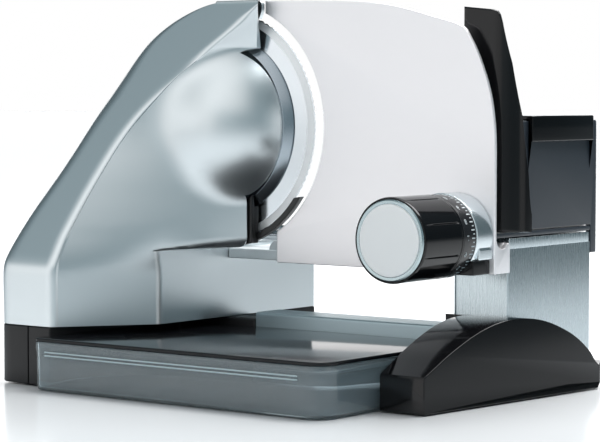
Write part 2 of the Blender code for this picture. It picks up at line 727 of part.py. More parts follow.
def make_support(frame, black, brushed, steel, dark_steel):
    g = GAP
    foot = outline_solid("right_foot", "X", foot_outline(), FOOT_SIDE, FOOT_OUTER, frame, black,
                         bevel=0.0012)
    spread_foot(foot.data)
    turn = [(FOOT_OUTER + FOOT_SPREAD, FOOT_TURN_Y), (FOOT_OUTER + 0.1, FOOT_TURN_Y),
            (FOOT_OUTER + 0.1, FOOT_BACK + 0.01), (COLUMN_RIGHT + 0.0045, FOOT_BACK + 0.0005)]
    add_boolean(foot, outline_solid("foot_corner_cut", "Z", turn, -0.01, 0.08, frame))
    add_boolean(foot, block("foot_side_cut", (FOOT_SIDE - 0.01, FOOT_INNER),
                            (FOOT_FRONT - 0.01, CROSS_FRONT), (-0.01, 0.08), frame))
    add_boolean(foot, block("foot_tail_cut", (FOOT_SIDE - 0.01, FOOT_INNER),
                            (COLUMN_BACK + 0.003, FOOT_BACK + 0.01), (-0.01, 0.08), frame))
    add_boolean(foot, block("column_socket", (COLUMN_LEFT - g, COLUMN_RIGHT + g),
                            (COLUMN_FRONT - g, COLUMN_BACK + g), (COLUMN_BOTTOM - g, 0.1), frame))
    shade_round(foot)

    cross = block("crossbar", (BASE_END, FOOT_SIDE - g), (CROSS_FRONT, CROSS_FRONT + CROSS_DEPTH),
                  (BASE_BOTTOM + 0.004, CROSS_TOP), frame, brushed)
    add_boolean(cross, block("crossbar_hollow", (BASE_END - 0.01, FOOT_SIDE + 0.01),
                             (CROSS_FRONT + 0.002, CROSS_FRONT + CROSS_DEPTH - 0.002),
                             (BASE_BOTTOM + 0.006, CROSS_TOP - 0.002), frame))

    outline = ([(COLUMN_LEFT + 0.006, COLUMN_FRONT), (COLUMN_RIGHT, COLUMN_FRONT),
                (COLUMN_RIGHT, COLUMN_BACK), (COLUMN_LEFT, COLUMN_BACK)]
               + arc((COLUMN_LEFT + 0.006, COLUMN_FRONT + 0.006), 0.006, 180, 270, 4)[:-1])
    column = outline_solid("column", "Z", outline, COLUMN_BOTTOM, COLUMN_TOP, frame, brushed)
    w = COLUMN_WALL
    add_boolean(column, block("column_hollow", (COLUMN_LEFT + w, COLUMN_RIGHT - w),
                              (COLUMN_FRONT + w, COLUMN_BACK - w),
                              (COLUMN_BOTTOM - 0.01, COLUMN_TOP - w), frame))
    add_boolean(column, block("column_front_notch", (COLUMN_LEFT - 0.01, COLUMN_RIGHT + 0.01),
                              (COLUMN_FRONT - 0.01, COLUMN_FRONT + NOTCH),
                              (COLUMN_TOP - NOTCH_H, COLUMN_TOP + 0.01), frame))
    add_boolean(column, block("column_back_notch", (COLUMN_LEFT - 0.01, COLUMN_RIGHT + 0.01),
                              (COLUMN_BACK - NOTCH, COLUMN_BACK + 0.01),
                              (COLUMN_TOP - NOTCH_H, COLUMN_TOP + 0.01), frame))
    add_boolean(column, block("guide_hole", (GUIDE_LEFT + 0.002 - g, GUIDE_RIGHT - 0.007 + g),
                              (COLUMN_FRONT - 0.01, COLUMN_FRONT + 0.01),
                              (GUIDE_BOTTOM - g, GUIDE_TOP + g), frame))
    shade_round(column)

    guide = block("plate_guide", (GUIDE_LEFT, GUIDE_RIGHT),
                  (GUIDE_FRONT, COLUMN_FRONT - 2 * g), (GUIDE_BOTTOM, GUIDE_TOP), frame, black)
    add_boolean(guide, block("guide_tail_add", (GUIDE_LEFT + 0.002, GUIDE_RIGHT - 0.007),
                             (COLUMN_FRONT - 0.004, GUIDE_BACK),
                             (GUIDE_BOTTOM, GUIDE_TOP), frame), "UNION")
    add_boolean(guide, block("guide_finger_add", (KNOB_X - 0.0045, KNOB_X + 0.0045),
                             (GUIDE_FRONT - 0.009, GUIDE_FRONT + 0.002),
                             (GUIDE_TOP - 0.0055, GUIDE_TOP - g), frame), "UNION")
    pin_y = GUIDE_FRONT - 0.0045
    rod("cam_pin", "Z", PIN_R, GUIDE_TOP, KNOB_Z - DRUM_R - g, (KNOB_X, pin_y, 0), frame, steel,
        steps=12)

    bridge = block("bridge", (TOWER_RIGHT + g, COLUMN_LEFT - g), (BRIDGE_FRONT, BRIDGE_BACK),
                   (BRIDGE_BOTTOM, BRIDGE_TOP), frame, brushed)
    apron = outline_solid(
        "apron_add", "Y",
        [(APRON_LEFT - 0.008, BRIDGE_TOP - 0.001), (COLUMN_LEFT - g, BRIDGE_TOP - 0.001),
         (COLUMN_LEFT - g, APRON_TOP), (APRON_LEFT, APRON_TOP)]
        + arc((APRON_LEFT - 0.008, BRIDGE_TOP + 0.008), 0.008, 0, -90, 5),
        BRIDGE_FRONT + 0.0005, BRIDGE_FRONT + APRON_T, frame)
    add_boolean(bridge, apron, "UNION")
    add_boolean(bridge, rod("rod_bore", "Y", ROD_R + g, BRIDGE_FRONT - 0.01, BRIDGE_BACK + 0.01,
                            (ROD_X, 0, (BRIDGE_BOTTOM + BRIDGE_TOP) / 2), frame, steps=16))
    for name, y in (("rail_front", RAIL_FRONT_Y), ("rail_back", RAIL_BACK_Y)):
        rod(name, "X", RAIL_R, TOWER_LEFT + 0.012, COLUMN_LEFT - g, (0, y, RAIL_Z), frame,
            dark_steel, steps=20)
    block("rail_block", (TOWER_LEFT + 0.002, TOWER_LEFT + 0.012 - g),
          (RAIL_FRONT_Y - 0.010, RAIL_BACK_Y + 0.010), (DECK_Z + g, RAIL_Z + RAIL_R),
          frame, black, bevel=0.0008)


def make_back(frame, black, steel, rubber):
    cover = block("rear_cover", (COVER_LEFT + GAP, COVER_RIGHT - GAP),
                  (TOWER_BACK - WALL, TOWER_BACK), (COVER_LOW + GAP, COVER_HIGH - GAP), frame, black)
    slots = 5
    pitch = (COVER_HIGH - COVER_LOW) * 0.6 / slots
    slot_right = (COVER_LEFT + COVER_RIGHT) / 2 + 2 * INLET_R / 3
    for i in range(slots):
        z = COVER_LOW + 0.2 * (COVER_HIGH - COVER_LOW) + pitch * i
        add_boolean(cover, block("vent_slot_%d" % (i + 1), (COVER_LEFT + 0.007, slot_right),
                                 (TOWER_BACK - 0.02, TOWER_BACK + 0.01),
                                 (z, z + pitch * 0.45), frame))
    inlet = (COVER_RIGHT - 2.4 * INLET_R, 0.0, COVER_LOW + 2.8 * INLET_R)
    add_boolean(cover, rod("inlet_hole", "Y", INLET_R, TOWER_BACK - 0.02, TOWER_BACK + 0.01, inlet,
                           frame, steps=16))
    turned("cord_gland", "Y",
           [(INLET_R + 0.0022, TOWER_BACK + 0.005), (INLET_R + 0.0022, TOWER_BACK + GAP),
            (INLET_R - GAP, TOWER_BACK + GAP), (INLET_R - GAP, TOWER_BACK - WALL - 0.004),
            (0.0034, TOWER_BACK - WALL - 0.004), (0.0034, TOWER_BACK + 0.005)],
           inlet, frame, rubber, steps=20)
    top = COVER_HIGH - 0.0035
    for i, (x, z) in enumerate(((COVER_LEFT + 0.0035, top), (COVER_RIGHT - 0.0035, top))):
        turned("rear_screw_%d" % (i + 1), "Y",
               [(0.0, TOWER_BACK + 0.0018), (0.0022, TOWER_BACK + 0.0015),
                (0.0022, TOWER_BACK + GAP), (0.0, TOWER_BACK + GAP)],
               (x, 0, z), frame, steel, steps=12, closed=False)


def make_blade(blade, silver, polished, plastic, black):
    bevel = BLADE_R - BEVEL_W
    turned("slicing_blade", "Y",
           [(bevel, 0.0), (BLADE_R, -0.0002), (BLADE_R, -0.0006), (bevel, -BLADE_T),
            (0.0072, -BLADE_T), (0.0072, 0.0)],
           BLADE_AXIS, blade, polished, steps=80)
    y0 = -BLADE_T - GAP
    rim = DOME_RIM_R + 0.0006
    cone_front = HEAD_RIM_Y + GAP
    turned("blade_carrier", "Y",
           [(CONE_OUT_R, y0), (CONE_OUT_R, y0 - 0.0008), (rim, cone_front),
            (rim - 0.0030, cone_front), (CONE_OUT_R - 0.0035, y0 - 0.0030), (0.0120, y0 - 0.0030),
            (0.0120, WHEEL_Y + WHEEL_T / 2 + GAP), (AXLE_R + GAP, WHEEL_Y + WHEEL_T / 2 + GAP),
            (AXLE_R + GAP, y0)],
           BLADE_AXIS, blade, silver, steps=48)
    back, front = WHEEL_Y + WHEEL_T / 2, WHEEL_Y - WHEEL_T / 2
    turned("worm_wheel", "Y",
           [(WHEEL_R, back), (WHEEL_R, front), (WHEEL_R - 0.005, front),
            (WHEEL_R - 0.005, front + 0.0025), (0.0120, front + 0.0025), (0.0120, front - 0.008),
            (AXLE_R + GAP, front - 0.008), (AXLE_R + GAP, back), (0.0120, back),
            (0.0120, back - 0.0025), (WHEEL_R - 0.005, back - 0.0025), (WHEEL_R - 0.005, back)],
           BLADE_AXIS, blade, plastic, steps=40)
    turned("blade_lock", "Y",
           [(0.0, 0.0020), (LOCK_R - 0.0010, 0.0020), (LOCK_R, 0.0010), (LOCK_R, GAP),
            (0.0072 - GAP, GAP), (0.0072 - GAP, y0 + GAP), (0.0, y0 + GAP)],
           BLADE_AXIS, blade, black, steps=32, closed=False)


def make_drive(frame, rotor, plastic, steel, copper, brass, black):
    axle_front = DOME_CENTRE_Y - (DOME_R - WALL) + 0.0005
    rod("blade_axle", "Y", AXLE_R, axle_front, -BLADE_T - 2 * GAP, BLADE_AXIS, frame, steel)
    centre = (MOTOR_X, WHEEL_Y, 0)
    turned("motor_can", "Z",
           [(MOTOR_R, MOTOR_TOP), (MOTOR_R, MOTOR_BOTTOM), (SHAFT_R + RUN, MOTOR_BOTTOM),
            (SHAFT_R + RUN, MOTOR_BOTTOM + 0.002), (MOTOR_R - 0.002, MOTOR_BOTTOM + 0.002),
            (MOTOR_R - 0.002, MOTOR_TOP)],
           centre, frame, steel, steps=32)
    turned("motor_lid", "Z",
           [(MOTOR_R, MOTOR_TOP + 0.003), (MOTOR_R, MOTOR_TOP + GAP),
            (SHAFT_R + RUN, MOTOR_TOP + GAP), (SHAFT_R + RUN, MOTOR_TOP + 0.003)],
           centre, frame, plastic, steps=32)
    turned("motor_mount", "Z",
           [(MOTOR_R, MOTOR_BOTTOM - GAP), (MOTOR_R, TOWER_BASE_Z + GAP),
            (MOTOR_R - 0.006, TOWER_BASE_Z + GAP), (MOTOR_R - 0.006, MOTOR_BOTTOM - GAP)],
           centre, frame, plastic, steps=32)
    turned("stator", "Z",
           [(MOTOR_R - 0.002 - GAP, MOTOR_TOP - 0.006), (MOTOR_R - 0.002 - GAP, MOTOR_BOTTOM + 0.006),
            (0.0180, MOTOR_BOTTOM + 0.006), (0.0180, MOTOR_TOP - 0.006)],
           centre, frame, copper, steps=32)
    bracket_top = SHAFT_TOP - 0.003
    half = 0.009
    bracket_left = side_wall(bracket_top, WHEEL_Y - half) + 1.15 * WALL + GAP
    bracket = block("worm_bracket", (bracket_left, MOTOR_X + half),
                    (WHEEL_Y - half, WHEEL_Y + half), (bracket_top - 0.005, bracket_top),
                    frame, plastic)
    add_boolean(bracket, rod("bracket_bore", "Z", SHAFT_R + RUN / 2, SHAFT_TOP - 0.02,
                             SHAFT_TOP + 0.01, centre, frame, steps=20))
    worm_low = BLADE_Z - WORM_LENGTH / 2
    rod("motor_shaft", "Z", SHAFT_R, MOTOR_BOTTOM - 0.003, SHAFT_TOP, centre, rotor, steel,
        steps=20)
    turned("armature", "Z",
           [(0.0172, MOTOR_TOP - 0.008), (0.0172, MOTOR_BOTTOM + 0.008),
            (SHAFT_R + GAP, MOTOR_BOTTOM + 0.008), (SHAFT_R + GAP, MOTOR_TOP - 0.008)],
           centre, rotor, copper, steps=32)
    turned("worm", "Z",
           [(WORM_R, worm_low + WORM_LENGTH), (WORM_R, worm_low), (SHAFT_R + GAP, worm_low),
            (SHAFT_R + GAP, worm_low + WORM_LENGTH)],
           centre, rotor, brass, steps=24)
    turned("cooling_fan", "Z",
           [(0.0190, MOTOR_TOP + 0.0088), (0.0190, MOTOR_TOP + 0.0048),
            (SHAFT_R + GAP, MOTOR_TOP + 0.0048), (SHAFT_R + GAP, MOTOR_TOP + 0.0088)],
           centre, rotor, black, steps=32)


def make_switch(frame, button, black, dark):
    """The switch sits inside the tower's left wall, its button in the wall's window."""
    body_x = TOWER_LEFT + WALL
    rim = 0.0040
    body = block("switch_body", (body_x + GAP, body_x + 0.0200),
                 (SWITCH_Y - SWITCH_W / 2 - rim, SWITCH_Y + SWITCH_W / 2 + rim),
                 (SWITCH_Z - SWITCH_H / 2 - rim, SWITCH_Z + SWITCH_H / 2 + rim), frame, dark)
    add_boolean(body, block("switch_pocket", (body_x - 0.01, body_x + SWITCH_PROUD + 0.0025),
                            (SWITCH_Y - SWITCH_W / 2, SWITCH_Y + SWITCH_W / 2),
                            (SWITCH_Z - SWITCH_H / 2, SWITCH_Z + SWITCH_H / 2), frame))
    block("switch_button", (TOWER_LEFT - SWITCH_PROUD, body_x + 0.0020),
          (SWITCH_Y - SWITCH_W / 2 + GAP, SWITCH_Y + SWITCH_W / 2 - GAP),
          (SWITCH_Z - SWITCH_H / 2 + GAP, SWITCH_Z + SWITCH_H / 2 - GAP), button, black,
          bevel=0.0006)


def make_stop_plate(plate, brushed, silver, steel):
    width = PLATE_RIGHT - PLATE_TOP_LEFT
    height = TOWER_TOP - PLATE_BOTTOM
    shares = [(0.0, 0.0), (0.407, 0.013), (0.577, 0.036), (0.736, 0.078), (0.870, 0.116),
              (0.898, 0.156), (0.923, 0.199), (0.947, 0.256), (0.968, 0.313), (0.984, 0.377),
              (0.994, 0.448), (1.0, 0.519)]
    top = [(PLATE_TOP_LEFT + width * u, TOWER_TOP - height * v) for u, v in shares]
    cut_top = math.degrees(math.acos((PLATE_TOP_LEFT - PLATE_CUT_X) / PLATE_CUT_R))
    cut_low = -math.degrees(math.acos((PLATE_CUT_LEFT - PLATE_CUT_X) / PLATE_CUT_R))
    edge = arc((PLATE_CUT_X, BLADE_Z), PLATE_CUT_R, cut_low, cut_top, 40)
    web = outline_solid("stop_plate", "Y",
                        [(PLATE_CUT_LEFT, PLATE_BOTTOM), (PLATE_RIGHT, PLATE_BOTTOM)] + top[::-1]
                        + edge[::-1],
                        -PLATE_T, 0.0, plate, brushed)
    d = FLANGE_DEPTH
    t = FLANGE_TOP
    b = PLATE_BOTTOM + GAP
    profile = [(-PLATE_T / 2, b), (d, b), (d, t), (d - 0.0015, t + 0.0025),
               (d - 0.0035, t + 0.0012), (d - 0.0060, t - 0.0010), (d - 0.0090, t - 0.0020),
               (d - 0.0120, t - 0.0015), (d - 0.0150, t + 0.0010), (-PLATE_T / 2, t + 0.0050)]
    flange = outline_solid("flange_add", "X", profile, PLATE_CUT_LEFT + GAP,
                           PLATE_RIGHT - GAP, plate)
    add_boolean(web, flange, "UNION")
    add_boolean(web, block("guide_notch", (GUIDE_LEFT - GAP, GUIDE_RIGHT + GAP), (-0.01, 0.03),
                           (0.08, GUIDE_TOP + GAP), plate))
    rod_z = (BRIDGE_BOTTOM + BRIDGE_TOP) / 2
    add_boolean(web, rod("rod_seat", "Y", ROD_R + GAP, FLANGE_DEPTH - 0.010, 0.03,
                         (ROD_X, 0, rod_z), plate, steps=16))
    rod("guide_rod", "Y", ROD_R, FLANGE_DEPTH - 0.010 + GAP, BRIDGE_FRONT + PLATE_TRAVEL + 0.0185,
        (ROD_X, 0, rod_z), plate, steel, steps=16)

    axis = (KNOB_X, 0, KNOB_Z)
    back = -PLATE_T - GAP
    collar = turned("knob_collar", "Y",
                    [(COLLAR_R, back), (COLLAR_R, COLLAR_FRONT + 0.001),
                     (COLLAR_R - 0.001, COLLAR_FRONT), (COLLAR_R - COLLAR_WALL, COLLAR_FRONT),
                     (COLLAR_R - COLLAR_WALL, back)],
                    axis, plate, silver, steps=ROUND_STEPS)
    wing = outline_solid("collar_wing_add", "Y",
                         [(KNOB_X + 0.0205, GUIDE_TOP + 0.0002),
                          (PLATE_RIGHT - 0.0010, GUIDE_TOP + 0.0002),
                          (PLATE_RIGHT - 0.0010, KNOB_Z - 0.0083), (PLATE_RIGHT - 0.0040, KNOB_Z - 0.0023)],
                         -0.0200, back - 0.0001, plate)
    add_boolean(collar, wing, "UNION")
    reach = COLLAR_R + 0.01
    add_boolean(collar, block("collar_foot_cut", (KNOB_X - reach, KNOB_X + reach),
                              (COLLAR_FRONT - 0.01, 0.0), (KNOB_Z - reach, GUIDE_TOP + GAP), plate))
    shade_round(collar)
    turned("knob_pivot", "Y",
           [(0.0, back), (PIVOT_R + 0.003, back), (PIVOT_R + 0.003, back - 0.0012),
            (PIVOT_R, back - 0.0012), (PIVOT_R, KNOB_FRONT + 0.0060), (0.0, KNOB_FRONT + 0.0060)],
           axis, plate, steel, steps=20, closed=False)


def make_knob(knob, black, silver, dark, scale):
    axis = (KNOB_X, 0, KNOB_Z)
    rear = COLLAR_FRONT - GAP
    ring_front = rear - SCALE_W
    inner = KNOB_R - KNOB_WALL
    shell = turned("knob_grip", "Y",
                   [(0.0, KNOB_FRONT + 0.0045), (inner, KNOB_FRONT + 0.0045),
                    (inner, ring_front - GAP), (KNOB_R, ring_front - GAP),
                    (KNOB_R, KNOB_FRONT + 0.0015), (KNOB_R - 0.0015, KNOB_FRONT),
                    (CAP_R + GAP, KNOB_FRONT), (CAP_R + GAP, KNOB_FRONT + 0.0015),
                    (0.0, KNOB_FRONT + 0.0015)],
                   axis, knob, black, steps=60, closed=False)
    shade_round(shell)
    turned("knob_cap", "Y",
           [(0.0, KNOB_FRONT + 0.0015 - GAP), (CAP_R, KNOB_FRONT + 0.0015 - GAP),
            (CAP_R, KNOB_FRONT - 0.0002), (CAP_R * 0.7, KNOB_FRONT - 0.0012),
            (CAP_R * 0.35, KNOB_FRONT - 0.0018), (0.0, KNOB_FRONT - 0.0020)],
           axis, knob, silver, steps=ROUND_STEPS, closed=False)
    turned("thickness_scale", "Y",
           [(SCALE_R, rear), (SCALE_R, ring_front), (inner, ring_front), (inner, rear)],
           axis, knob, scale, steps=60)
    turned("cam_drum", "Y",
           [(DRUM_R, -PLATE_T - 0.0022), (DRUM_R, DRUM_FRONT), (DRUM_R - 0.0030, DRUM_FRONT),
            (DRUM_R - 0.0030, KNOB_FRONT + 0.0045 + GAP), (PIVOT_R + GAP, KNOB_FRONT + 0.0045 + GAP),
            (PIVOT_R + GAP, -PLATE_T - 0.0022)],
           axis, knob, dark, steps=32)


def make_carriage(carriage, slate, plastic):
    g = GAP
    table_top = TABLE_BOTTOM + TABLE_T
    table = block("carriage_table", (TABLE_LEFT, WALL_RIGHT), (TABLE_FRONT, TABLE_BACK),
                  (TABLE_BOTTOM, table_top), carriage, slate)
    lip = block("table_lip_add", (TABLE_LEFT + 0.0002, WALL_RIGHT - 0.0002),
                (TABLE_FRONT + 0.0002, BRIDGE_FRONT - RUN), (FLANGE_TOP + 0.0040, TABLE_BOTTOM + 0.001),
                carriage)
    add_boolean(table, lip, "UNION")
    add_boolean(table, block("lip_hollow", (TABLE_LEFT - 0.01, WALL_RIGHT + 0.01),
                             (TABLE_FRONT + 0.003, BRIDGE_FRONT - RUN - 0.0025),
                             (0.09, TABLE_BOTTOM - 0.0005), carriage))
    add_bevel(table, 0.0006, 1)
    outline_solid(
        "push_wall", "X",
        [(PUSH_WALL_FRONT, table_top + g), (TABLE_BACK + g, table_top + g),
         (TABLE_BACK + g, PUSH_WALL_TAIL), (PUSH_WALL_BACK, PUSH_WALL_TAIL),
         (PUSH_WALL_BACK, PUSH_WALL_TOP - 0.002), (PUSH_WALL_BACK - 0.002, PUSH_WALL_TOP),
         (PUSH_WALL_FRONT, PUSH_WALL_TOP)],
        WALL_RIGHT - PUSH_WALL_T, WALL_RIGHT, carriage, slate)
    for name, x in (("left", TABLE_LEFT + 0.006), ("right", TABLE_LEFT + 0.064)):
        for side, y in (("front", RAIL_FRONT_Y), ("back", RAIL_BACK_Y)):
            shoe = block("shoe_%s_%s" % (side, name), (x, x + SHOE_L), (y - 0.008, y + 0.008),
                         (DECK_Z + 0.0005, TABLE_BOTTOM - g), carriage, plastic)
            add_boolean(shoe, rod("shoe_bore_%s_%s" % (side, name), "X", RAIL_R + g, x - 0.01,
                                  x + SHOE_L + 0.01, (0, y, RAIL_Z), carriage, steps=20))


def make_guard(carriage, black):
    """Hand guard: a sheet bent round the push wall's front corner, cut to a horn outline."""
    bend = (GUARD_BEND_X, GUARD_FRONT + GUARD_BEND_R)
    outer = arc(bend, GUARD_BEND_R, -90, 0, 8)
    inner = arc(bend, GUARD_BEND_R - GUARD_T, 0, -90, 8)
    low = TABLE_BOTTOM + TABLE_T + GAP
    sheet = outline_solid("hand_guard", "Z",
                          [(GUARD_LEFT - 0.004, GUARD_FRONT)] + outer + inner
                          + [(GUARD_LEFT - 0.004, GUARD_FRONT + GUARD_T)],
                          low, GUARD_TOP + 0.002, carriage, black)
    horn = outline_solid("horn_cross", "Y",
                         [(GUARD_LEFT, low - 0.005), (GUARD_RIGHT + 0.001, low - 0.005),
                          (GUARD_RIGHT, 0.1300), (GUARD_RIGHT - 0.0004, 0.1590),
                          (GUARD_RIGHT - 0.0022, 0.1980), (GUARD_RIGHT - 0.0068, 0.2340),
                          (GUARD_RIGHT - 0.0130, 0.2620), (GUARD_RIGHT - 0.0146, 0.2670),
                          (GUARD_RIGHT - 0.0165, 0.2695), (GUARD_RIGHT - 0.0200, 0.2705),
                          (GUARD_LEFT, GUARD_TOP)],
                         -0.01, 0.06, carriage)
    add_boolean(sheet, horn, "INTERSECT")
    shade_round(sheet)


def make_pusher(pusher, black, slate):
    g = GAP
    outer = WALL_RIGHT + g
    inner = WALL_RIGHT - PUSH_WALL_T - g
    top = PUSH_WALL_TOP + g
    table_top = TABLE_BOTTOM + TABLE_T
    low = table_top + 0.0006
    outline_solid(
        "pusher_clip", "Y",
        [(inner - CLIP_T, low), (inner, low), (inner, top), (outer, top),
         (outer, top - CLIP_DROP), (outer + CLIP_T, top - CLIP_DROP),
         (outer + CLIP_T, top + CLIP_T - 0.0015), (outer + CLIP_T - 0.0015, top + CLIP_T),
         (inner - CLIP_T, top + CLIP_T)],
        CLIP_FRONT, CLIP_BACK, pusher, black)
    plate_right = GUARD_LEFT - 0.0020
    block("pusher_plate", (PUSHER_LEFT, plate_right), (PUSHER_Y, PUSHER_Y + PUSHER_T),
          (low, PUSH_WALL_TOP - 0.006), pusher, slate, bevel=0.001)
    arm_front = PUSHER_Y + PUSHER_T + g
    outline_solid("pusher_arm", "Z",
                  [(plate_right - PUSHER_ARM_W, arm_front), (plate_right - 0.0005, arm_front),
                   (plate_right - 0.0005, CLIP_FRONT + 0.013), (inner - CLIP_T - g, CLIP_FRONT + 0.013),
                   (inner - CLIP_T - g, CLIP_BACK - 0.030), (plate_right - PUSHER_ARM_W, CLIP_BACK - 0.030)],
                  PUSHER_ARM_Z, PUSHER_ARM_Z + 0.008, pusher, slate, bevel=0.001)


def make_tray(tray, lid_group, smoke, black):
    corners = [(TRAY_LEFT, TRAY_FRONT, TRAY_LEFT_CORNER, 3),
               (TRAY_RIGHT, TRAY_FRONT, TRAY_CORNER, 5), (TRAY_RIGHT, TRAY_BACK, TRAY_CORNER, 5),
               (TRAY_LEFT, TRAY_BACK, TRAY_LEFT_CORNER, 3)]
    outline = round_corners(corners)
    tub = outline_solid("catch_tray", "Z", outline, TRAY_BOTTOM, TRAY_TOP, tray, smoke)
    add_boolean(tub, outline_solid("tray_hollow", "Z",
                                   round_corners(offset_corners(corners, TRAY_WALL)),
                                   TRAY_BOTTOM + TRAY_WALL, TRAY_TOP + 0.01, tray))
    shade_round(tub)
    lid = outline_solid("tray_lid", "Z", outline, TRAY_TOP + GAP, TRAY_TOP + GAP + LID_T,
                        lid_group, black)
    shade_round(lid)


clear_scene()
PARTS = new_collection("food_slicer")
CUTTERS = new_collection("cutters")

SILVER = new_material("silver_lacquer", (0.56, 0.65, 0.68), 0.30, 0.85)
BRUSHED = new_material("brushed_aluminium", (0.74, 0.78, 0.80), 0.32, 0.9)
POLISHED = new_material("polished_steel", (0.80, 0.82, 0.83), 0.14, 1.0)
STEEL = new_material("zinc_steel", (0.50, 0.52, 0.54), 0.35, 1.0)
DARK_STEEL = new_material("ground_rail_steel", (0.42, 0.44, 0.46), 0.22, 1.0)
BLACK = new_material("gloss_black", (0.012, 0.012, 0.014), 0.12, 0.0)
MATT_BLACK = new_material("matt_black", (0.020, 0.021, 0.023), 0.45, 0.0)
SLATE = new_material("slate_plastic", (0.040, 0.050, 0.065), 0.35, 0.0)
SMOKE = new_material("smoky_clear", (0.25, 0.31, 0.35), 0.10, 0.0, 0.45)
LID = new_material("lid_gloss_black", (0.015, 0.017, 0.020), 0.08, 0.0)
RUBBER = new_material("black_rubber", (0.02, 0.02, 0.02), 0.85, 0.0)
WHITE_PLASTIC = new_material("natural_plastic", (0.75, 0.72, 0.62), 0.45, 0.0)
COPPER = new_material("copper_winding", (0.60, 0.28, 0.12), 0.35, 0.9)
BRASS = new_material("brass", (0.70, 0.52, 0.22), 0.30, 1.0)

ROOT = new_group("slicer_origin", (0.0, 0.0, 0.0))
ROOT.location = (-CENTRE_X, -CENTRE_Y, 0.0)
FRAME = new_group("frame_body", (0.0, 0.0, 0.0), ROOT)
BLADE_BODY = new_group("blade_body", BLADE_AXIS, FRAME)
ROTOR_BODY = new_group("rotor_body", (MOTOR_X, WHEEL_Y, MOTOR_TOP), FRAME)
PLATE_BODY = new_group("plate_body", (KNOB_X, 0.0, KNOB_Z), FRAME)
KNOB_BODY = new_group("knob_body", (KNOB_X, 0.0, KNOB_Z), PLATE_BODY)
CARRIAGE_BODY = new_group("carriage_body", (TABLE_LEFT, RAIL_FRONT_Y, RAIL_Z), FRAME)
PUSHER_BODY = new_group("pusher_body", (WALL_RIGHT, CLIP_FRONT, PUSH_WALL_TOP), CARRIAGE_BODY)
BUTTON_BODY = new_group("button_body", (TOWER_LEFT, SWITCH_Y, SWITCH_Z), FRAME)
TRAY_BODY = new_group("tray_body", (0.0, TRAY_FRONT, TRAY_TOP), FRAME)
LID_BODY = new_group("lid_body", (0.0, TRAY_FRONT, TRAY_TOP), TRAY_BODY)

make_base(FRAME, MATT_BLACK, STEEL, RUBBER)
make_tower(FRAME, SILVER, MATT_BLACK)
make_support(FRAME, BLACK, BRUSHED, STEEL, DARK_STEEL)
make_back(FRAME, MATT_BLACK, STEEL, RUBBER)
make_blade(BLADE_BODY, SILVER, POLISHED, WHITE_PLASTIC, MATT_BLACK)
make_drive(FRAME, ROTOR_BODY, WHITE_PLASTIC, STEEL, COPPER, BRASS, MATT_BLACK)
make_switch(FRAME, BUTTON_BODY, BLACK, MATT_BLACK)
make_stop_plate(PLATE_BODY, BRUSHED, SILVER, STEEL)
make_knob(KNOB_BODY, BLACK, SILVER, MATT_BLACK, MATT_BLACK)
make_carriage(CARRIAGE_BODY, SLATE, WHITE_PLASTIC)
make_guard(CARRIAGE_BODY, BLACK)
make_pusher(PUSHER_BODY, BLACK, SLATE)
make_tray(TRAY_BODY, LID_BODY, SMOKE, LID)
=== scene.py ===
# A kitchen food slicer on a white table: a silver motor tower with a domed gear cover, a toothed
# round blade, a stop plate set by a thickness knob, a food carriage with a hand guard, and a
# catch tray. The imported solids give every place; the pieces below give them their looks.
import math

import bmesh
import bpy
import numpy as np
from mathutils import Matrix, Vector


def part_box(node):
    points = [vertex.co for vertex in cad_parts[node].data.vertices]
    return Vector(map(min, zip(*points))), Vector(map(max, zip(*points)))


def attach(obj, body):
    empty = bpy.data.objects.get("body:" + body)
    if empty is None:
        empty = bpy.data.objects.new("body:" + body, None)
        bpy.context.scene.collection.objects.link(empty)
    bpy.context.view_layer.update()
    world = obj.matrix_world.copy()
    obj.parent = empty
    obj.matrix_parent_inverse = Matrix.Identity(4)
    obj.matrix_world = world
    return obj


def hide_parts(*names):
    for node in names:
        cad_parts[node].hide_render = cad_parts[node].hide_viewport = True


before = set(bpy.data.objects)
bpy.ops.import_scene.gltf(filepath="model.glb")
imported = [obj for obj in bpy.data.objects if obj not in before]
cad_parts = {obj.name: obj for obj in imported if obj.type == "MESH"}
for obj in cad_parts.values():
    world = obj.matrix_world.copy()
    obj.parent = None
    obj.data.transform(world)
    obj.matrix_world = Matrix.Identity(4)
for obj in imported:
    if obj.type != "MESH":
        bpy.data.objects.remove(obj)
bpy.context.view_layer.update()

# Where things are: the middle of the blade's food side, over the table. All sizes below are
# metres from there, or millimetres inside mm() and turned_ring(): x towards the column, y to the
# food side, z up from the table.
blade_low, blade_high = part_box("slicing_blade")
AXIS_X, AXIS_Y = (blade_low.x + blade_high.x) / 2, blade_high.y
AXIS_Z = (blade_low.z + blade_high.z) / 2


# Base: a black moulded ABS box under the tower with a rear arm for the crossbar. Its edges are
# rounded by 1.5 mm, its skin is finely matt, and a steel sheet closes it underneath.

def mm(sizes):
    """Millimetres to metres."""
    return np.array(sizes) / 1000


def bow(start, corner, end, t):
    """A quadratic arc: start (1-t)^2 + corner 2t(1-t) + end t^2."""
    return start * (1 - t) ** 2 + corner * 2 * t * (1 - t) + end * t ** 2


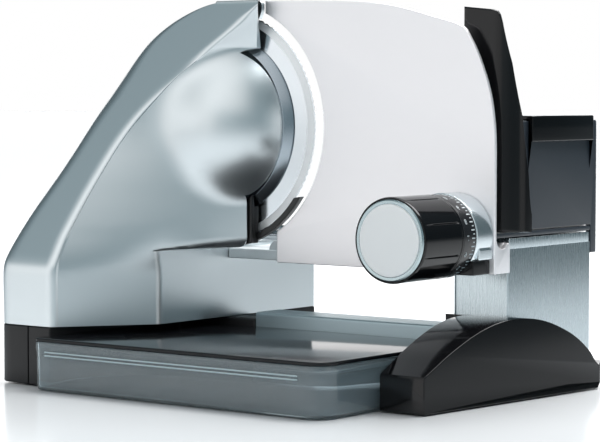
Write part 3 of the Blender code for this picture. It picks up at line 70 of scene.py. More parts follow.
def rounded(corners, steps=6, closed=True):
    """Each corner (x, y, radius) becomes a quadratic arc that starts and ends one radius away
    along its two sides."""
    points = []
    count = len(corners)
    for i, (x, y, radius) in enumerate(corners):
        here = np.array((x, y))
        if radius <= 0 or (not closed and i in (0, count - 1)):
            points.append(here[None])
            continue
        back = np.array(corners[i - 1][:2]) - here
        ahead = np.array(corners[(i + 1) % count][:2]) - here
        long_back, long_ahead = np.linalg.norm(back), np.linalg.norm(ahead)
        bend = math.acos(np.clip(back @ ahead / (long_back * long_ahead), -1, 1)) / 2
        reach = min(radius / max(math.tan(bend), 0.05), long_back * 0.49, long_ahead * 0.49)
        t = np.linspace(0, 1, steps + 1)[:, None]
        start, end = here + back / long_back * reach, here + ahead / long_ahead * reach
        points.append(bow(start, here, end, t))
    return np.concatenate(points)


def box_line(x0, y0, x1, y1, radii, steps=6):
    """A rectangle's outline from its low to its high corner, with one radius or four in turn."""
    radii = radii if isinstance(radii, tuple) else (radii,) * 4
    return rounded([(x0, y0, radii[0]), (x1, y0, radii[1]), (x1, y1, radii[2]),
        (x0, y1, radii[3])], steps)


def on_circle(radius, angle, x=0.0, z=AXIS_Z):
    """Points round a middle: x + radius cos a, z + radius sin a."""
    return np.stack((x + radius * np.cos(angle), z + radius * np.sin(angle)), 1)


def drawn_in(outline, amount):
    """Each point moves inwards along the mean of its two side normals, lengthened so that the
    sides move by the amount."""
    ahead = np.roll(outline, -1, 0) - outline
    ahead = ahead / np.maximum(np.linalg.norm(ahead, axis=1, keepdims=True), 1e-12)
    back = np.roll(ahead, 1, 0)
    area = np.sum(outline[:, 0] * np.roll(outline[:, 1], -1)
        - np.roll(outline[:, 0], -1) * outline[:, 1])
    side = 1.0 if area > 0 else -1.0
    normal = side * np.stack((-(ahead + back)[:, 1], (ahead + back)[:, 0]), axis=1) / 2
    return outline + normal * amount / np.maximum(np.sum(normal ** 2, axis=1), 0.3)[:, None]


def at_height(line, z):
    """A line's points (x, y) with one z for all."""
    return np.column_stack((line, np.full(len(line), z)))


def distinct(line):
    """A closed line without the points that repeat the one before."""
    return line[np.linalg.norm(line - np.roll(line, 1, 0), axis=1) > 1e-5]


ORDER = {"X": (2, 0, 1), "Y": (0, 2, 1), "Z": (0, 1, 2)}


def slab(outline, low, high, edge=0.0005, axis="Z", steps=4):
    """A closed outline carried from low to high. At both ends it draws in by
    edge (1 - sin a) while it is edge (1 - cos a) away from the end: rounded edges."""
    a = np.linspace(0, math.pi / 2, steps + 1)
    ends = list(zip(edge * (1 - np.sin(a)), edge * (1 - np.cos(a))))
    rows = [at_height(drawn_in(outline, inset), low + along) for inset, along in ends]
    rows += [at_height(drawn_in(outline, inset), high - along) for inset, along in ends[::-1]]
    return np.array(rows)[:, :, list(ORDER[axis])], True, True


def turned(profile, axis, centre, steps=96, wave=None):
    """A profile of (radius, place along the axis) carried round the axis: radius cos a and
    radius sin a. A wave(angle, profile) is added to the radius."""
    profile = np.asarray(profile, float)
    angle = np.linspace(0, 2 * math.pi, steps, endpoint=False)
    radius = np.repeat(profile[:, :1], steps, axis=1)
    if wave is not None:
        radius = radius + wave(angle, profile)
    grid = np.stack((radius * np.cos(angle), radius * np.sin(angle),
        np.repeat(profile[:, 1:], steps, axis=1)), axis=-1)
    grid = grid[:, :, list(ORDER[axis])]
    return grid + np.array(centre), True, False


def turned_ring(corners, steps, *rest):
    """A closed outline of (radius, along, corner radius) in millimetres, turned."""
    loop = rounded(mm(corners), steps)
    return turned(np.concatenate((loop, loop[:1])), *rest)


def quads(rows, count, wrap):
    """Face corners of a grid: each face joins a point to the next in its row and column."""
    i, j = np.meshgrid(np.arange(rows - 1), np.arange(count if wrap else count - 1), indexing="ij")
    k = (j + 1) % count
    return np.stack((i * count + j, i * count + k, (i + 1) * count + k, (i + 1) * count + j),
        axis=-1).reshape(-1, 4)


def new_object(name, data):
    """An object at the origin, put into the scene."""
    ob = bpy.data.objects.new(name, data)
    bpy.context.scene.collection.objects.link(ob)
    return ob


def add_piece(name, node, body, finish, slot, *parts, sharp=38):
    """Parts (grid, wraps round, closed by end faces) become one object that rides on a body and
    replaces a node, if one is named. Points that meet are merged, faces turned outwards, and
    edges under the sharp angle shaded smooth."""
    points, faces, start = [], [], 0
    for grid, wrap, ends in parts:
        rows, count = grid.shape[:2]
        points.append(grid.reshape(-1, 3))
        faces += (quads(rows, count, wrap) + start).tolist()
        if ends:
            faces.append(list(range(start, start + count)))
            faces.append(list(range(start + (rows - 1) * count, start + rows * count)))
        start += rows * count
    mesh = bpy.data.meshes.new(name)
    mesh.from_pydata(np.concatenate(points) + np.array((AXIS_X, AXIS_Y, 0.0)), [], faces)
    bm = bmesh.new()
    bm.from_mesh(mesh)
    bmesh.ops.remove_doubles(bm, verts=bm.verts, dist=2e-6)
    bmesh.ops.dissolve_degenerate(bm, edges=bm.edges, dist=1e-7)
    bmesh.ops.recalc_face_normals(bm, faces=bm.faces)
    bm.to_mesh(mesh)
    bm.free()
    mesh.shade_smooth()
    mesh.set_sharp_from_angle(angle=math.radians(sharp))
    mesh.materials.append(finish)
    ob = new_object(name, mesh)
    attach(ob, body)
    if node:
        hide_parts(node)


def add_node(tree, kind, sockets, **traits):
    """A shader node. Each of its sockets gets a link from another node's output, or a constant."""
    made = tree.nodes.new("ShaderNode" + kind)
    for trait, value in traits.items():
        setattr(made, trait, value)
    for socket, value in sockets.items():
        if isinstance(value, bpy.types.NodeSocket):
            tree.links.new(value, made.inputs[socket])
        else:
            made.inputs[socket].default_value = value
    return made


def make_finish(name, colour, roughness, metallic=0.0, cloud=0.05, cloud_size=0.03, grain=0.0003,
                depth=1e-5, spread=0.06, stretch=(1, 1, 1), **sockets):
    """A surface whose colour drifts in soft clouds, and whose roughness and height follow a
    fine grain. A stretch over 1 shortens the grain along that axis."""
    material = bpy.data.materials.new(name)
    material.use_nodes = True
    tree = material.node_tree
    shader = tree.nodes["Principled BSDF"]
    place = add_node(tree, "TexCoord", {}).outputs["Object"]
    clouds = add_node(tree, "TexNoise", {"Scale": 1 / cloud_size, "Detail": 3.0, "Vector": place})
    tint = add_node(tree, "Mix", {"A": (*[c * (1 - cloud) for c in colour], 1.0),
        "B": (*[min(c * (1 + cloud), 1.0) for c in colour], 1.0), "Factor": clouds.outputs["Fac"]},
        data_type="RGBA")
    lie = add_node(tree, "Mapping", {"Scale": stretch, "Vector": place})
    fine = add_node(tree, "TexNoise", {"Scale": 1 / grain, "Detail": 2.0,
        "Vector": lie.outputs["Vector"]}).outputs["Fac"]
    rough = add_node(tree, "MapRange",
        {"To Min": max(roughness - spread, 0.02), "To Max": roughness + spread, "Value": fine})
    bump = add_node(tree, "Bump", {"Distance": depth, "Strength": 0.6, "Height": fine})
    tree.links.new(tint.outputs["Result"], shader.inputs["Base Color"])
    tree.links.new(rough.outputs["Result"], shader.inputs["Roughness"])
    tree.links.new(bump.outputs["Normal"], shader.inputs["Normal"])
    shader.inputs["Metallic"].default_value = metallic
    for socket, value in sockets.items():
        shader.inputs[socket.replace("_", " ")].default_value = value
    return material


MATT_BLACK = make_finish("moulded_black", (0.0075, 0.0075, 0.0085), 0.4, grain=0.0005,
    depth=4e-5, cloud=0.15, Specular_IOR_Level=0.35)
ZINC = make_finish("zinc_steel", (0.52, 0.54, 0.56), 0.34, 1.0, cloud=0.12, cloud_size=0.008)
RUBBER = make_finish("black_rubber", (0.02, 0.02, 0.021), 0.8, grain=0.0004, depth=6e-5,
    cloud=0.2)

TOWER_LEFT, TOWER_RIGHT, TOWER_FRONT, TOWER_REAR = -0.1165, -0.014, -0.1245, 0.13
BASE_INNER, BASE_END, CROSS_Y = -0.062, 0.0127, 0.019
TOWER_LOW = 0.044
base_outline = rounded([(TOWER_LEFT, TOWER_FRONT, 0.0155), (-0.0846, TOWER_FRONT, 0.0006),
    (-0.0843, TOWER_FRONT + 0.0011, 0), (-0.0837, TOWER_FRONT + 0.0011, 0),
    (-0.0834, TOWER_FRONT, 0.0006), (BASE_INNER, TOWER_FRONT, 0.002), (BASE_INNER, CROSS_Y, 0.003),
    (BASE_END, CROSS_Y, 0.002), (BASE_END, CROSS_Y + 0.03, 0.002),
    (TOWER_RIGHT, CROSS_Y + 0.03, 0.003), (TOWER_RIGHT, TOWER_REAR, 0.006),
    (TOWER_LEFT, TOWER_REAR, 0.008)])
add_piece("base_moulding", "base_body", "frame", MATT_BLACK, "matt_black",
    slab(base_outline, 0.0012, TOWER_LOW - 0.0001, 0.0012))
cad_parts["base_cover"].data.materials[0] = ZINC

BASE_PAD, FOOT_PAD, FOOT_PAD_X = 0.0022, 0.0007, 0.21975
for name, x, y, high in (("base_pad_1", -0.0925, -0.1065, BASE_PAD),
        ("base_pad_2", -0.0925, 0.112, BASE_PAD), ("base_pad_3", -0.032, 0.112, BASE_PAD),
        ("foot_pad_1", FOOT_PAD_X, -0.064, FOOT_PAD), ("foot_pad_2", FOOT_PAD_X, 0.095, FOOT_PAD)):
    add_piece(name + "_rubber", name, "frame", RUBBER, "black_rubber",
        turned([(0, 0), (0.0088, 0), (0.0098, high / 3), (0.01, high), (0, high)], "Z", (x, y, 0),
        40))


# Tower: one casting in satin silver lacquer. Its front leans back from 88 mm up, turns over a
# soft ridge with a fine groove into a slanting facet, and carries the domed gear cover and an
# arm that overhangs the slices; the rear half ends in a flat deck under the carriage.

def flowing(table, at):
    """A smooth curve through (place, value) points: cubic pieces whose slope at a point is that
    of the line through its two neighbours."""
    x, v = np.array(table, float).T
    slope = np.gradient(v, x)
    slope[1:-1] = (v[2:] - v[:-2]) / (x[2:] - x[:-2])
    at = np.clip(np.asarray(at, float), x[0], x[-1])
    i = np.clip(np.searchsorted(x, at, side="right") - 1, 0, len(x) - 2)
    step = x[i + 1] - x[i]
    t = (at - x[i]) / step
    return ((2 * t ** 3 - 3 * t ** 2 + 1) * v[i] + (t ** 3 - 2 * t ** 2 + t) * step * slope[i]
        + (3 * t ** 2 - 2 * t ** 3) * v[i + 1] + (t ** 3 - t ** 2) * step * slope[i + 1])


def softly_least(a, b, reach):
    """The lesser of two values; where they differ by less than the reach, a cubic passage
    without a kink in its bend."""
    h = np.maximum(reach - np.abs(a - b), 0.0) / reach
    return np.minimum(a, b) - h ** 3 * reach / 6


def eased(t):
    """0 to 1 with a level start and end: 3 t^2 - 2 t^3."""
    t = np.clip(t, 0, 1)
    return t * t * (3 - 2 * t)


LEAN_Z, LEAN, HEAD_BACK = 0.088, 0.573, -0.004
DECK_Z, LIP_HIGH = 0.1005, 0.1078
SHROUD_X, SHROUD_Y, SHROUD_TOP = 0.035, -0.013, 0.139
RIM_Y, RIM_R = -0.0085, 0.0608
DOME_R, DOME_Y = 0.0665, 0.0186
BLADE_R, EDGE_Y = 0.085, -0.059
LEFT_EDGE = mm([(44, -116.5), (90, -116.5), (120, -109), (156.5, -93.6), (196, -78.8),
    (223, -65.2), (249, -51.6), (263, -37), (273.5, -18.6), (279, -2.2), (281, 14)])
RIDGE = mm([(44, -61.5), (88, -61.8), (107, -61.8), (118, -60), (128.6, -57.9), (139.3, -55.5),
    (150, -52.6), (161, -49.4), (172, -45.8), (183, -41.2), (194, -35.2), (208.3, -25.2),
    (223, -13.3), (235.4, -0.3), (247.1, 13.2), (258.7, 26.2), (268.9, 35.7), (277.6, 42.4),
    (281, 42.4)])
TIP_LOW, TIP_HIGH = (0.0374, -0.0085, 0.2466), (0.0436, -0.0158, 0.2776)


TIP_START = 0.2425


def tip_share(z):
    """0 where the pointed tip begins, 1 at its upper end."""
    return np.clip((z - TIP_LOW[2]) / (TIP_HIGH[2] - TIP_LOW[2]), 0, 1)


def front_line(z):
    """The front's y: upright, then leaning back, with a soft turn between."""
    return TOWER_FRONT - LEAN * softly_least(-(z - LEAN_Z), 0.0 * z, 0.01)


def back_line(z):
    """The left wall's x where it meets the blade guard: wide enough to cover the blade."""
    cover = np.sqrt(np.maximum((BLADE_R + 0.003) ** 2 - (z - AXIS_Z) ** 2, 0.0))
    return np.minimum(flowing(LEFT_EDGE, z), -cover)


def right_line(z):
    """The casting's right edge over the lip: the arm, the round rim, then the pointed tip."""
    rim = np.sqrt(np.maximum(RIM_R ** 2 - (z - AXIS_Z) ** 2, 0.0))
    tip = TIP_LOW[0] + (TIP_HIGH[0] - TIP_LOW[0]) * tip_share(z)
    x = np.where(z < SHROUD_TOP, SHROUD_X - 0.0028, rim)
    return x + (tip - x) * np.clip((z - TIP_START) / 0.0035, 0, 1) * (z > TIP_START)


def facet(x, z):
    """The slanting side's y. Two ruled planes run from the ridge, one to the lower block's
    upright edge and one to the arm and rim; between 80 and 122 mm the first passes into the
    second. The arm curves in underneath, and the dome is a ball that the plane flows into."""
    ridge, front = flowing(RIDGE, z), front_line(z)
    far_y = SHROUD_Y + (RIM_Y - SHROUD_Y) * np.clip((z - 0.101) / 0.18, 0, 1)
    share = tip_share(z)
    far_x = np.where(z < SHROUD_TOP, SHROUD_X, SHROUD_X + 0.0024 * np.clip((z - SHROUD_TOP) / 0.1,
        0, 1)) + (TIP_HIGH[0] - TIP_LOW[0]) * share
    far_y = far_y + (TIP_HIGH[1] - far_y) * share
    arm_slope = (far_y - front) / np.maximum(far_x - ridge, 0.0015)
    block_slope = (EDGE_Y - front) / (TOWER_RIGHT - ridge)
    low = 1 - eased((z - 0.08) / 0.042)
    beyond = 1 - eased((x - TOWER_RIGHT) / 0.024)
    reach = np.minimum(x, TOWER_RIGHT) - ridge
    plane = front + (x - ridge) * arm_slope + reach * (block_slope - arm_slope) * low * beyond
    tuck = np.clip((0.136 - np.maximum(z, LIP_HIGH)) / 0.028, 0, 1) ** 2
    plane = plane + 0.0012 * tuck * eased((x - TOWER_RIGHT) / 0.034) * (z > 0.098)
    ball = DOME_Y - np.sqrt(np.maximum(DOME_R ** 2 - x ** 2 - (z - AXIS_Z) ** 2, 1e-8))
    return np.where(z > LIP_HIGH, softly_least(plane, ball, 0.026), plane)


def front_columns(z, part):
    """The front half's outline, one row per height: left wall, round corner, front face, soft
    ridge, groove, and the facet. Above the lip the facet ends at the rim; in the lower part it
    ends in a round upright edge, and its last points run back along the right wall."""
    z = np.asarray(z, float)[:, None]
    left, back, front = flowing(LEFT_EDGE, z), back_line(z), front_line(z)
    ridge, depth = flowing(RIDGE, z), HEAD_BACK - front_line(z)
    round_r = np.minimum(0.016, 0.32 * depth)
    length = np.hypot(back - left, depth)
    start_x = left + (back - left) / length * round_r
    start_y = front + depth / length * round_r
    t = np.linspace(0, 1, 9)[None, :-1]
    wall = back + (start_x - back) * t, HEAD_BACK + (start_y - HEAD_BACK) * t
    t = np.linspace(0, 1, 13)[None, :-1]
    corner = bow(start_x, left, left + round_r, t), bow(start_y, front, front, t)
    room = (right_line(z) if part == "head" else TOWER_RIGHT) - ridge
    turn = np.minimum(0.0062, np.minimum(0.25 * (ridge - left), 0.9 * np.maximum(room, 0.0005)))
    begin, end = ridge - turn, ridge + 0.4 * turn
    t = np.linspace(0, 1, 25)[None, :-1]
    face = left + round_r + (begin - left - round_r) * t, front + 0 * t
    t = np.linspace(0, 1, 13)[None]
    bend = bow(begin, ridge, end, t), front * (1 - t ** 2) + facet(end, z) * t ** 2
    cut = np.array([0.0002, 0.0005, 0.001, 0.0013])[None]
    deep = np.array([0.0, 1.0, 1.0, 0.0])[None] * 0.0007 * (1 - eased((z - 0.205) / 0.05))
    cut = cut * np.clip(room / 0.008, 0.05, 1)
    groove = end + cut, facet(end + cut, z) + deep
    first = end + 0.0016 * np.clip(room / 0.008, 0.05, 1)
    if part == "head":
        right = right_line(z)
        x = first + (right - first) * np.concatenate((np.linspace(0, 0.4437, 35)[:-1],
            np.linspace(0.4437, 1, 64)))[None]
        y = facet(x, z)
        lift = np.where(z > TIP_START, 1.0, 0.15)
        side = (right - np.array([0.0002, 0.0008, 0.0042])[None] * tip_share(z),
            y[:, -1:] + np.array([0.0004, 0.0012, 0.0045])[None] * lift)
    else:
        edge_y = facet(TOWER_RIGHT + 0 * z, z)
        near, rest = np.linspace(0, 1, 35)[:-1, None], np.linspace(0, 1, 49)[1:, None]
        rows = []
        for i in range(len(z)):
            line = rounded([(first[i, 0], facet(first[i], z[i])[0], 0),
                (TOWER_RIGHT, edge_y[i, 0], 0.012), (TOWER_RIGHT, HEAD_BACK, 0)], 18, closed=False)
            rows.append(np.concatenate((line[0] + (line[1] - line[0]) * near, line[1:-1],
                line[-2] + (line[-1] - line[-2]) * rest)))
        x, y = np.moveaxis(np.array(rows), 2, 0)
        side = x[:, :0], y[:, :0]
    parts = (wall, corner, face, bend, groove, (x, y), side)
    columns = [np.concatenate([p[k] + 0 * z for p in parts], axis=1) for k in (0, 1)]
    return np.stack((columns[0], columns[1], z + 0 * columns[0]), axis=-1)


LACQUER = make_finish("silver_lacquer", (0.63, 0.68, 0.7), 0.32, 0.97, cloud=0.01, grain=0.00022,
    depth=1.5e-6, spread=0.04)
low_z = np.concatenate((np.linspace(0.0443, 0.076, 10), np.linspace(0.078, 0.0978, 22)))
lower = front_columns(low_z, "block")
under = np.array([0.0, 0.1, 0.32, 0.6, 0.8, 0.895, 0.945, 0.975, 0.992, 1.0])
under_z = np.array([0.098, 0.0981, 0.0984, 0.0989, 0.0996, 0.1006, 0.1021, 0.104, 0.106, 0.1078])
share = under[:, None, None]
lip = front_columns(under_z, "block") * (1 - share) + front_columns(under_z, "head") * share
lip[:, :, 2] = under_z[:, None]
head_z = np.concatenate((np.linspace(0.1086, 0.1385, 19), np.linspace(0.1392, 0.2425, 64),
    np.linspace(0.2431, 0.2465, 7), np.linspace(0.248, 0.2796, 24)))
head = front_columns(head_z, "head")
TOP_ROUND, DECK_ROUND = 0.0014, 0.0018
crown_t = np.linspace(0, 1, 9)[1:, None]
crown = np.repeat(head[-1:], 8, axis=0)
crown_a = crown_t * math.pi / 2
crown[..., 1] = np.minimum(crown[..., 1] + TOP_ROUND * (1 - np.cos(crown_a)), HEAD_BACK)
crown[..., 2] = head[-1:, :, 2] + TOP_ROUND * np.sin(crown_a)
closing = crown[-1:].copy()
closing[..., 1] = HEAD_BACK
closing[..., 0] = np.minimum(closing[..., 0], closing[0, -1, 0])
rear_plan = rounded([(TOWER_RIGHT, HEAD_BACK, 0), (TOWER_RIGHT, HEAD_BACK + 0.006, 0),
    (TOWER_RIGHT, TOWER_REAR, 0.007), (TOWER_LEFT, TOWER_REAR, 0.01),
    (TOWER_LEFT, HEAD_BACK + 0.006, 0), (TOWER_LEFT, HEAD_BACK, 0)], 8, closed=False)
rear_lower = np.stack([at_height(rear_plan, z) for z in low_z])
loop = np.concatenate((lower, rear_lower[:, 1:-1]), axis=1)
ends_in = np.ones(len(rear_plan))
ends_in[[0, -1]] = 0.0
middle = np.array(((TOWER_LEFT + TOWER_RIGHT) / 2, (TOWER_REAR + HEAD_BACK) / 2))
inward = np.sign(middle - rear_plan) * (np.abs(middle - rear_plan) > 0.03) * ends_in[:, None]
rear_top = np.concatenate((rear_lower[-1:],
    [at_height(rear_plan + inward * DECK_ROUND * (1 - math.cos(a)),
        DECK_Z - DECK_ROUND * (1 - math.sin(a))) for a in np.linspace(0, math.pi / 2, 7)]))
half = len(rear_plan) // 2
deck_grid = np.stack((rear_top[-1][:half], rear_top[-1][::-1][:half]), axis=1)
add_piece("tower_casting", "tower_housing", "frame", LACQUER, "silver_lacquer",
    (loop, True, False),
    (np.concatenate((lower[-1:], lip, head, crown, closing)), False, False),
    (rear_top, False, False), (deck_grid, False, False), sharp=30)


# Blade guard and shroud: a thin pressed plate behind the blade that follows the tower's back
# edge, and the moulded black corner under the dome that keeps slices off the gear.

OPEN_R, GUARD_TIP = BLADE_R + 0.0009, 0.0374
ring_angles = np.linspace(math.radians(258), math.radians(66), 150)


def guard_reach(angle):
    """How far the plate goes out along rays from the axis: to the tower's back edge, the
    plate's flat top or its right tip."""
    ray = np.linspace(OPEN_R, 0.128, 240)
    x, z = np.outer(np.cos(angle), ray), AXIS_Z + np.outer(np.sin(angle), ray)
    inside = (x > back_line(z)) & (z < 0.2805) & (x < GUARD_TIP) & (z > DECK_Z + 0.001)
    return ray[np.maximum(np.argmin(inside, axis=1), 2)]


inner_ring = on_circle(OPEN_R, ring_angles)
outer_ring = on_circle(guard_reach(ring_angles), ring_angles)
guard_grid = np.array([at_height(ring, y)[:, [0, 2, 1]] for ring, y in (
    (inner_ring, -0.0036), (inner_ring, -0.0002), (outer_ring, -0.0002), (outer_ring, -0.0036),
    (inner_ring, -0.0036))])
guard_caps = [(guard_grid[[[0, 3], [1, 2]], i], False, False) for i in (0, -1)]
add_piece("blade_guard_ring", "blade_guard_plate", "frame", LACQUER, "silver_lacquer",
    (guard_grid, False, False), *guard_caps)

SATIN_BLACK = make_finish("satin_black", (0.007, 0.0075, 0.008), 0.42, grain=0.0006, depth=1e-5,
    cloud=0.1)
CORNER_TOP = 0.1384


def shroud_line(left_top, right_top, radius):
    """The corner's outline: an upright side at each end, a rounded foot and an arc on top."""
    left, right = TOWER_RIGHT + 0.001, SHROUD_X - 0.0002
    foot = rounded([(left, left_top, 0), (left, 0.1016, 0.001), (right, 0.103, 0.002),
        (right, right_top, 0)], 5, closed=False)
    arc = on_circle(radius, np.radians(np.linspace(-54.0, -101.5, 26)))
    return distinct(np.concatenate((foot, arc[arc[:, 0] < SHROUD_X - 0.0004])))


add_piece("shroud_corner", "blade_shroud", "frame", SATIN_BLACK, "matt_black",
    slab(shroud_line(0.1316, CORNER_TOP, RIM_R + 0.0006), -0.0124, -0.009, 0.0006, "Y"))
add_piece("shroud_web", None, "frame", SATIN_BLACK, "matt_black",
    slab(shroud_line(0.1215, 0.13, 0.0684), -0.0092, -0.0041, 0.0003, "Y"))
rim_a = np.radians(np.linspace(-96.0, -34.2, 70))
rim_low, rim_high = on_circle(0.0861, rim_a), on_circle(0.0904, rim_a)
rim_line = np.concatenate((rim_high, rim_low[rim_low[:, 1] < CORNER_TOP][::-1]))
rim_line[:, 1] = np.minimum(rim_line[:, 1], CORNER_TOP)
add_piece("shroud_rim", None, "frame", SATIN_BLACK, "matt_black",
    slab(rim_line, -0.0059, -0.0007, 0.0004, "Y"))


# Blade: 170 mm hardened stainless steel, 97 ground waves along the edge and a ground band inside
# it, whose near-white colour is partly a painted highlight, carried by a silver cone that runs in
# the dome's rim and is coloured darker as painted shade.

BLADE_AXIS = "Y", (0, 0, AXIS_Z)
WAVES = 97


def edge_waves(angle, profile):
    """Scalloped edge: -0.6 mm times (1 - the size of sin(97/2 a)), only in the outermost
    2.5 mm of the profile."""
    share = np.clip((profile[:, 0] - (BLADE_R - 0.0025)) / 0.0025, 0, 1)[:, None]
    return -0.0006 * share * (1 - np.abs(np.sin(angle * WAVES / 2)))[None]


STEEL = make_finish("polished_blade_steel", (0.62, 0.66, 0.69), 0.2, 1.0, cloud=0.05,
    cloud_size=0.02, grain=0.0002, depth=1e-6, spread=0.06)
bevel_r = BLADE_R - 0.0066
hub_r = 0.0072
add_piece("toothed_blade", "slicing_blade", "blade", STEEL, "polished_steel",
    turned([(hub_r, -0.0022), (bevel_r - 0.0006, -0.0022), (bevel_r, -0.0021),
    (BLADE_R - 0.0026, -0.00075), (BLADE_R - 0.001, -0.00055), (BLADE_R, -0.00042),
    (BLADE_R, -0.0003), (BLADE_R - 0.001, -0.00022), (BLADE_R - 0.0026, -0.00015),
    (bevel_r + 0.002, -2e-5), (bevel_r, 0.0), (hub_r, 0.0), (hub_r, -0.0022)], *BLADE_AXIS,
    WAVES * 8, edge_waves), sharp=14)
# Painted shade: the silver cone gets a dark grey colour that stands in for the shade it shows
# under the dome's rim.
CONE_PAINTED_SHADE = make_finish("cone_steel_painted_shade", (0.34, 0.39, 0.43), 0.24, 1.0, cloud=0.03, grain=0.0002,
    depth=1e-6, spread=0.05)
# The ground band is real, but its near-white colour with little metal is a painted highlight: it
# stands in for the light on the bevel.
GROUND_BAND_AND_SHEEN = make_finish("ground_band_and_painted_sheen", (0.93, 0.94, 0.95), 0.42, 0.35, cloud=0.02, grain=0.0003,
    depth=3e-6, spread=0.05)
# This band carries the painted highlight of the ground bevel.
add_piece("ground_band", None, "blade", GROUND_BAND_AND_SHEEN, "polished_steel", turned(
    [(bevel_r + 0.0004, -0.00212), (BLADE_R - 0.0031, -0.00095), (BLADE_R - 0.0009, -0.0006),
     (BLADE_R - 0.0009, -0.0005), (BLADE_R - 0.0031, -0.0008), (bevel_r + 0.0004, -0.0019),
     (bevel_r + 0.0004, -0.00212)], *BLADE_AXIS, WAVES * 8, edge_waves), sharp=20)

# The cone is drawn with the painted-shade colour above.
add_piece("blade_cone", "blade_carrier", "blade", CONE_PAINTED_SHADE, "silver_lacquer",
    turned_ring([(66.9, -2.6, 0.2), (66.9, -3.4, 0.3), (61.5, -8.1, 0.4), (58.5, -8.1, 0.3),
    (62.5, -5.5, 0.4), (12, -5.5, 0.5), (12, -19.6, 0.3), (5.4, -19.6, 0.3), (5.4, -2.6, 0.3)], 3,
    *BLADE_AXIS, 144), sharp=30)


def knurl(angle, profile):
    """Twelve shallow finger scoops round the lock's rim: 0.6 mm where cos(12 a) is highest."""
    share = np.clip((profile[:, 0] - 0.0115) / 0.0015, 0, 1)[:, None]
    return -0.0006 * share * np.maximum(np.cos(angle * 12), 0)[None]


add_piece("lock_knob", "blade_lock", "lock", MATT_BLACK, "matt_black",
    turned(mm([(0, 1.9), (9, 1.9), (12.8, 1.8), (13.8, 1.2), (13.9, 0.4), (6.9, 0.3), (6.9, -2.1),
    (0, -2.1)]), *BLADE_AXIS, 144, knurl),
    slab(box_line(-0.0095, AXIS_Z - 0.0014, 0.0095, AXIS_Z + 0.0014, 0.0013), 0.0012, 0.00195,
    0.0003, "Y"))


# Right foot and crossbar: the foot is high-gloss moulded black with an arched back, and the
# crossbar is a drawn aluminium box that ties it to the base.

GLOSS_BLACK = make_finish("gloss_black", (0.006, 0.006, 0.007), 0.1, cloud=0.1, grain=0.002,
    depth=2e-6, spread=0.02, Specular_IOR_Level=0.3)
BRUSHED = make_finish("brushed_aluminium", (0.86, 0.9, 0.915), 0.36, 0.55, cloud=0.02,
    grain=0.0004, depth=4e-7, spread=0.02, stretch=(0.02, 1, 1))
CROSS_GREY = make_finish("crossbar_grey", (0.4, 0.5, 0.54), 0.36, 0.6, cloud=0.02, grain=0.0004,
    depth=4e-7, spread=0.02, stretch=(0.02, 1, 1))
FOOT_TOP = mm([(-82, 25.8), (-70, 31.8), (-53, 40.3), (-28, 50.3), (-8, 55.6), (10, 57.7),
    (29, 57.4), (48, 54.6), (67, 48.9), (87, 40), (103, 29), (113, 19.2), (140, 18.1)])
FOOT_SPREAD, FOOT_WIDE = 0.0165 / 0.195, 0.113


def spread_side(grid, base_x):
    """Move the outer half outwards by 85 mm for each metre behind the tip, and turn it in again
    beyond y = 113 mm."""
    share = np.clip((grid[..., 0] - base_x) / 0.03, 0, 1)
    y = grid[..., 1]
    out = FOOT_SPREAD * (np.minimum(y, FOOT_WIDE) + 0.082) - 0.52 * np.maximum(y - FOOT_WIDE, 0)
    grid[..., 0] += out * share
    return grid


foot_y = np.concatenate((np.linspace(0.1397, 0.1145, 8), np.linspace(FOOT_WIDE, -0.0812, 70)))
foot_side = np.concatenate((rounded(
    mm([(-82, 24.6, 0), (-82, 1.1, 1.2), (113, 1.1, 0), (139.9, 1.1, 1.2), (139.9, 16.8, 0)]), 5,
    closed=False), np.stack((foot_y, flowing(FOOT_TOP, foot_y)), 1)))
foot_grid, wrap, ends = slab(foot_side, 0.2016, 0.2379, 0.0007, "X", 5)
socket_side = np.stack((np.clip(foot_side[:, 0], 0.0192, 0.1343),
    np.minimum(foot_side[:, 1], flowing(FOOT_TOP, np.clip(foot_side[:, 0], 0.0192, 0.1343)))), 1)
add_piece("arched_foot", "right_foot", "frame", GLOSS_BLACK, "gloss_black",
    (spread_side(foot_grid, 0.206), wrap, ends), slab(socket_side, 0.1852, 0.2045, 0.0007, "X"),
    sharp=26)
add_piece("drawn_crossbar", "crossbar", "frame", CROSS_GREY, "brushed_aluminium",
    slab(box_line(0.0191, 0.0066, 0.0489, 0.0489, 0.002), 0.0131, 0.1846, 0.0004, "X"))


# Column: a brushed aluminium extrusion, closed on top, with a small step along its front and
# rear top edges. The guide block of the stop plate slides through its front.

BRUSHED_UP = make_finish("brushed_column", (0.55, 0.62, 0.65), 0.27, 0.92, cloud=0.03,
    grain=0.0004, depth=6e-6, spread=0.08, stretch=(1, 1, 0.02))
COLUMN_LEFT, COLUMN_RIGHT, COLUMN_FRONT, COLUMN_BACK = 0.189, 0.236, 0.0215, 0.1315
column_low = box_line(COLUMN_LEFT, COLUMN_FRONT, COLUMN_RIGHT, COLUMN_BACK,
    (0.006, 0.0012, 0.0012, 0.003))
column_high = box_line(COLUMN_LEFT, COLUMN_FRONT + 0.0018, COLUMN_RIGHT, COLUMN_BACK - 0.0018,
    (0.005, 0.0008, 0.0008, 0.003))
add_piece("extruded_column", "column", "frame", BRUSHED_UP, "brushed_aluminium",
    slab(column_low, 0.0102, 0.1055, 0.0004), slab(column_high, 0.105, 0.1125, 0.0006))
add_piece("guide_block", "plate_guide", "frame", GLOSS_BLACK, "gloss_black",
    slab(box_line(0.1961, 0.0896, 0.2369, 0.0994, (0.0012, 0.0012, 0.0008, 0.0008)),
        -0.023, 0.0209, 0.0008, "Y"),
    slab(box_line(0.2063, 0.0943, 0.2149, 0.0989, 0.0008), -0.0319, -0.0215, 0.0008, "Y"))


# Bridge and rails: a brushed sheet from tower to column with a bent-up front apron, and two
# ground steel rails that the carriage's shoes run on.

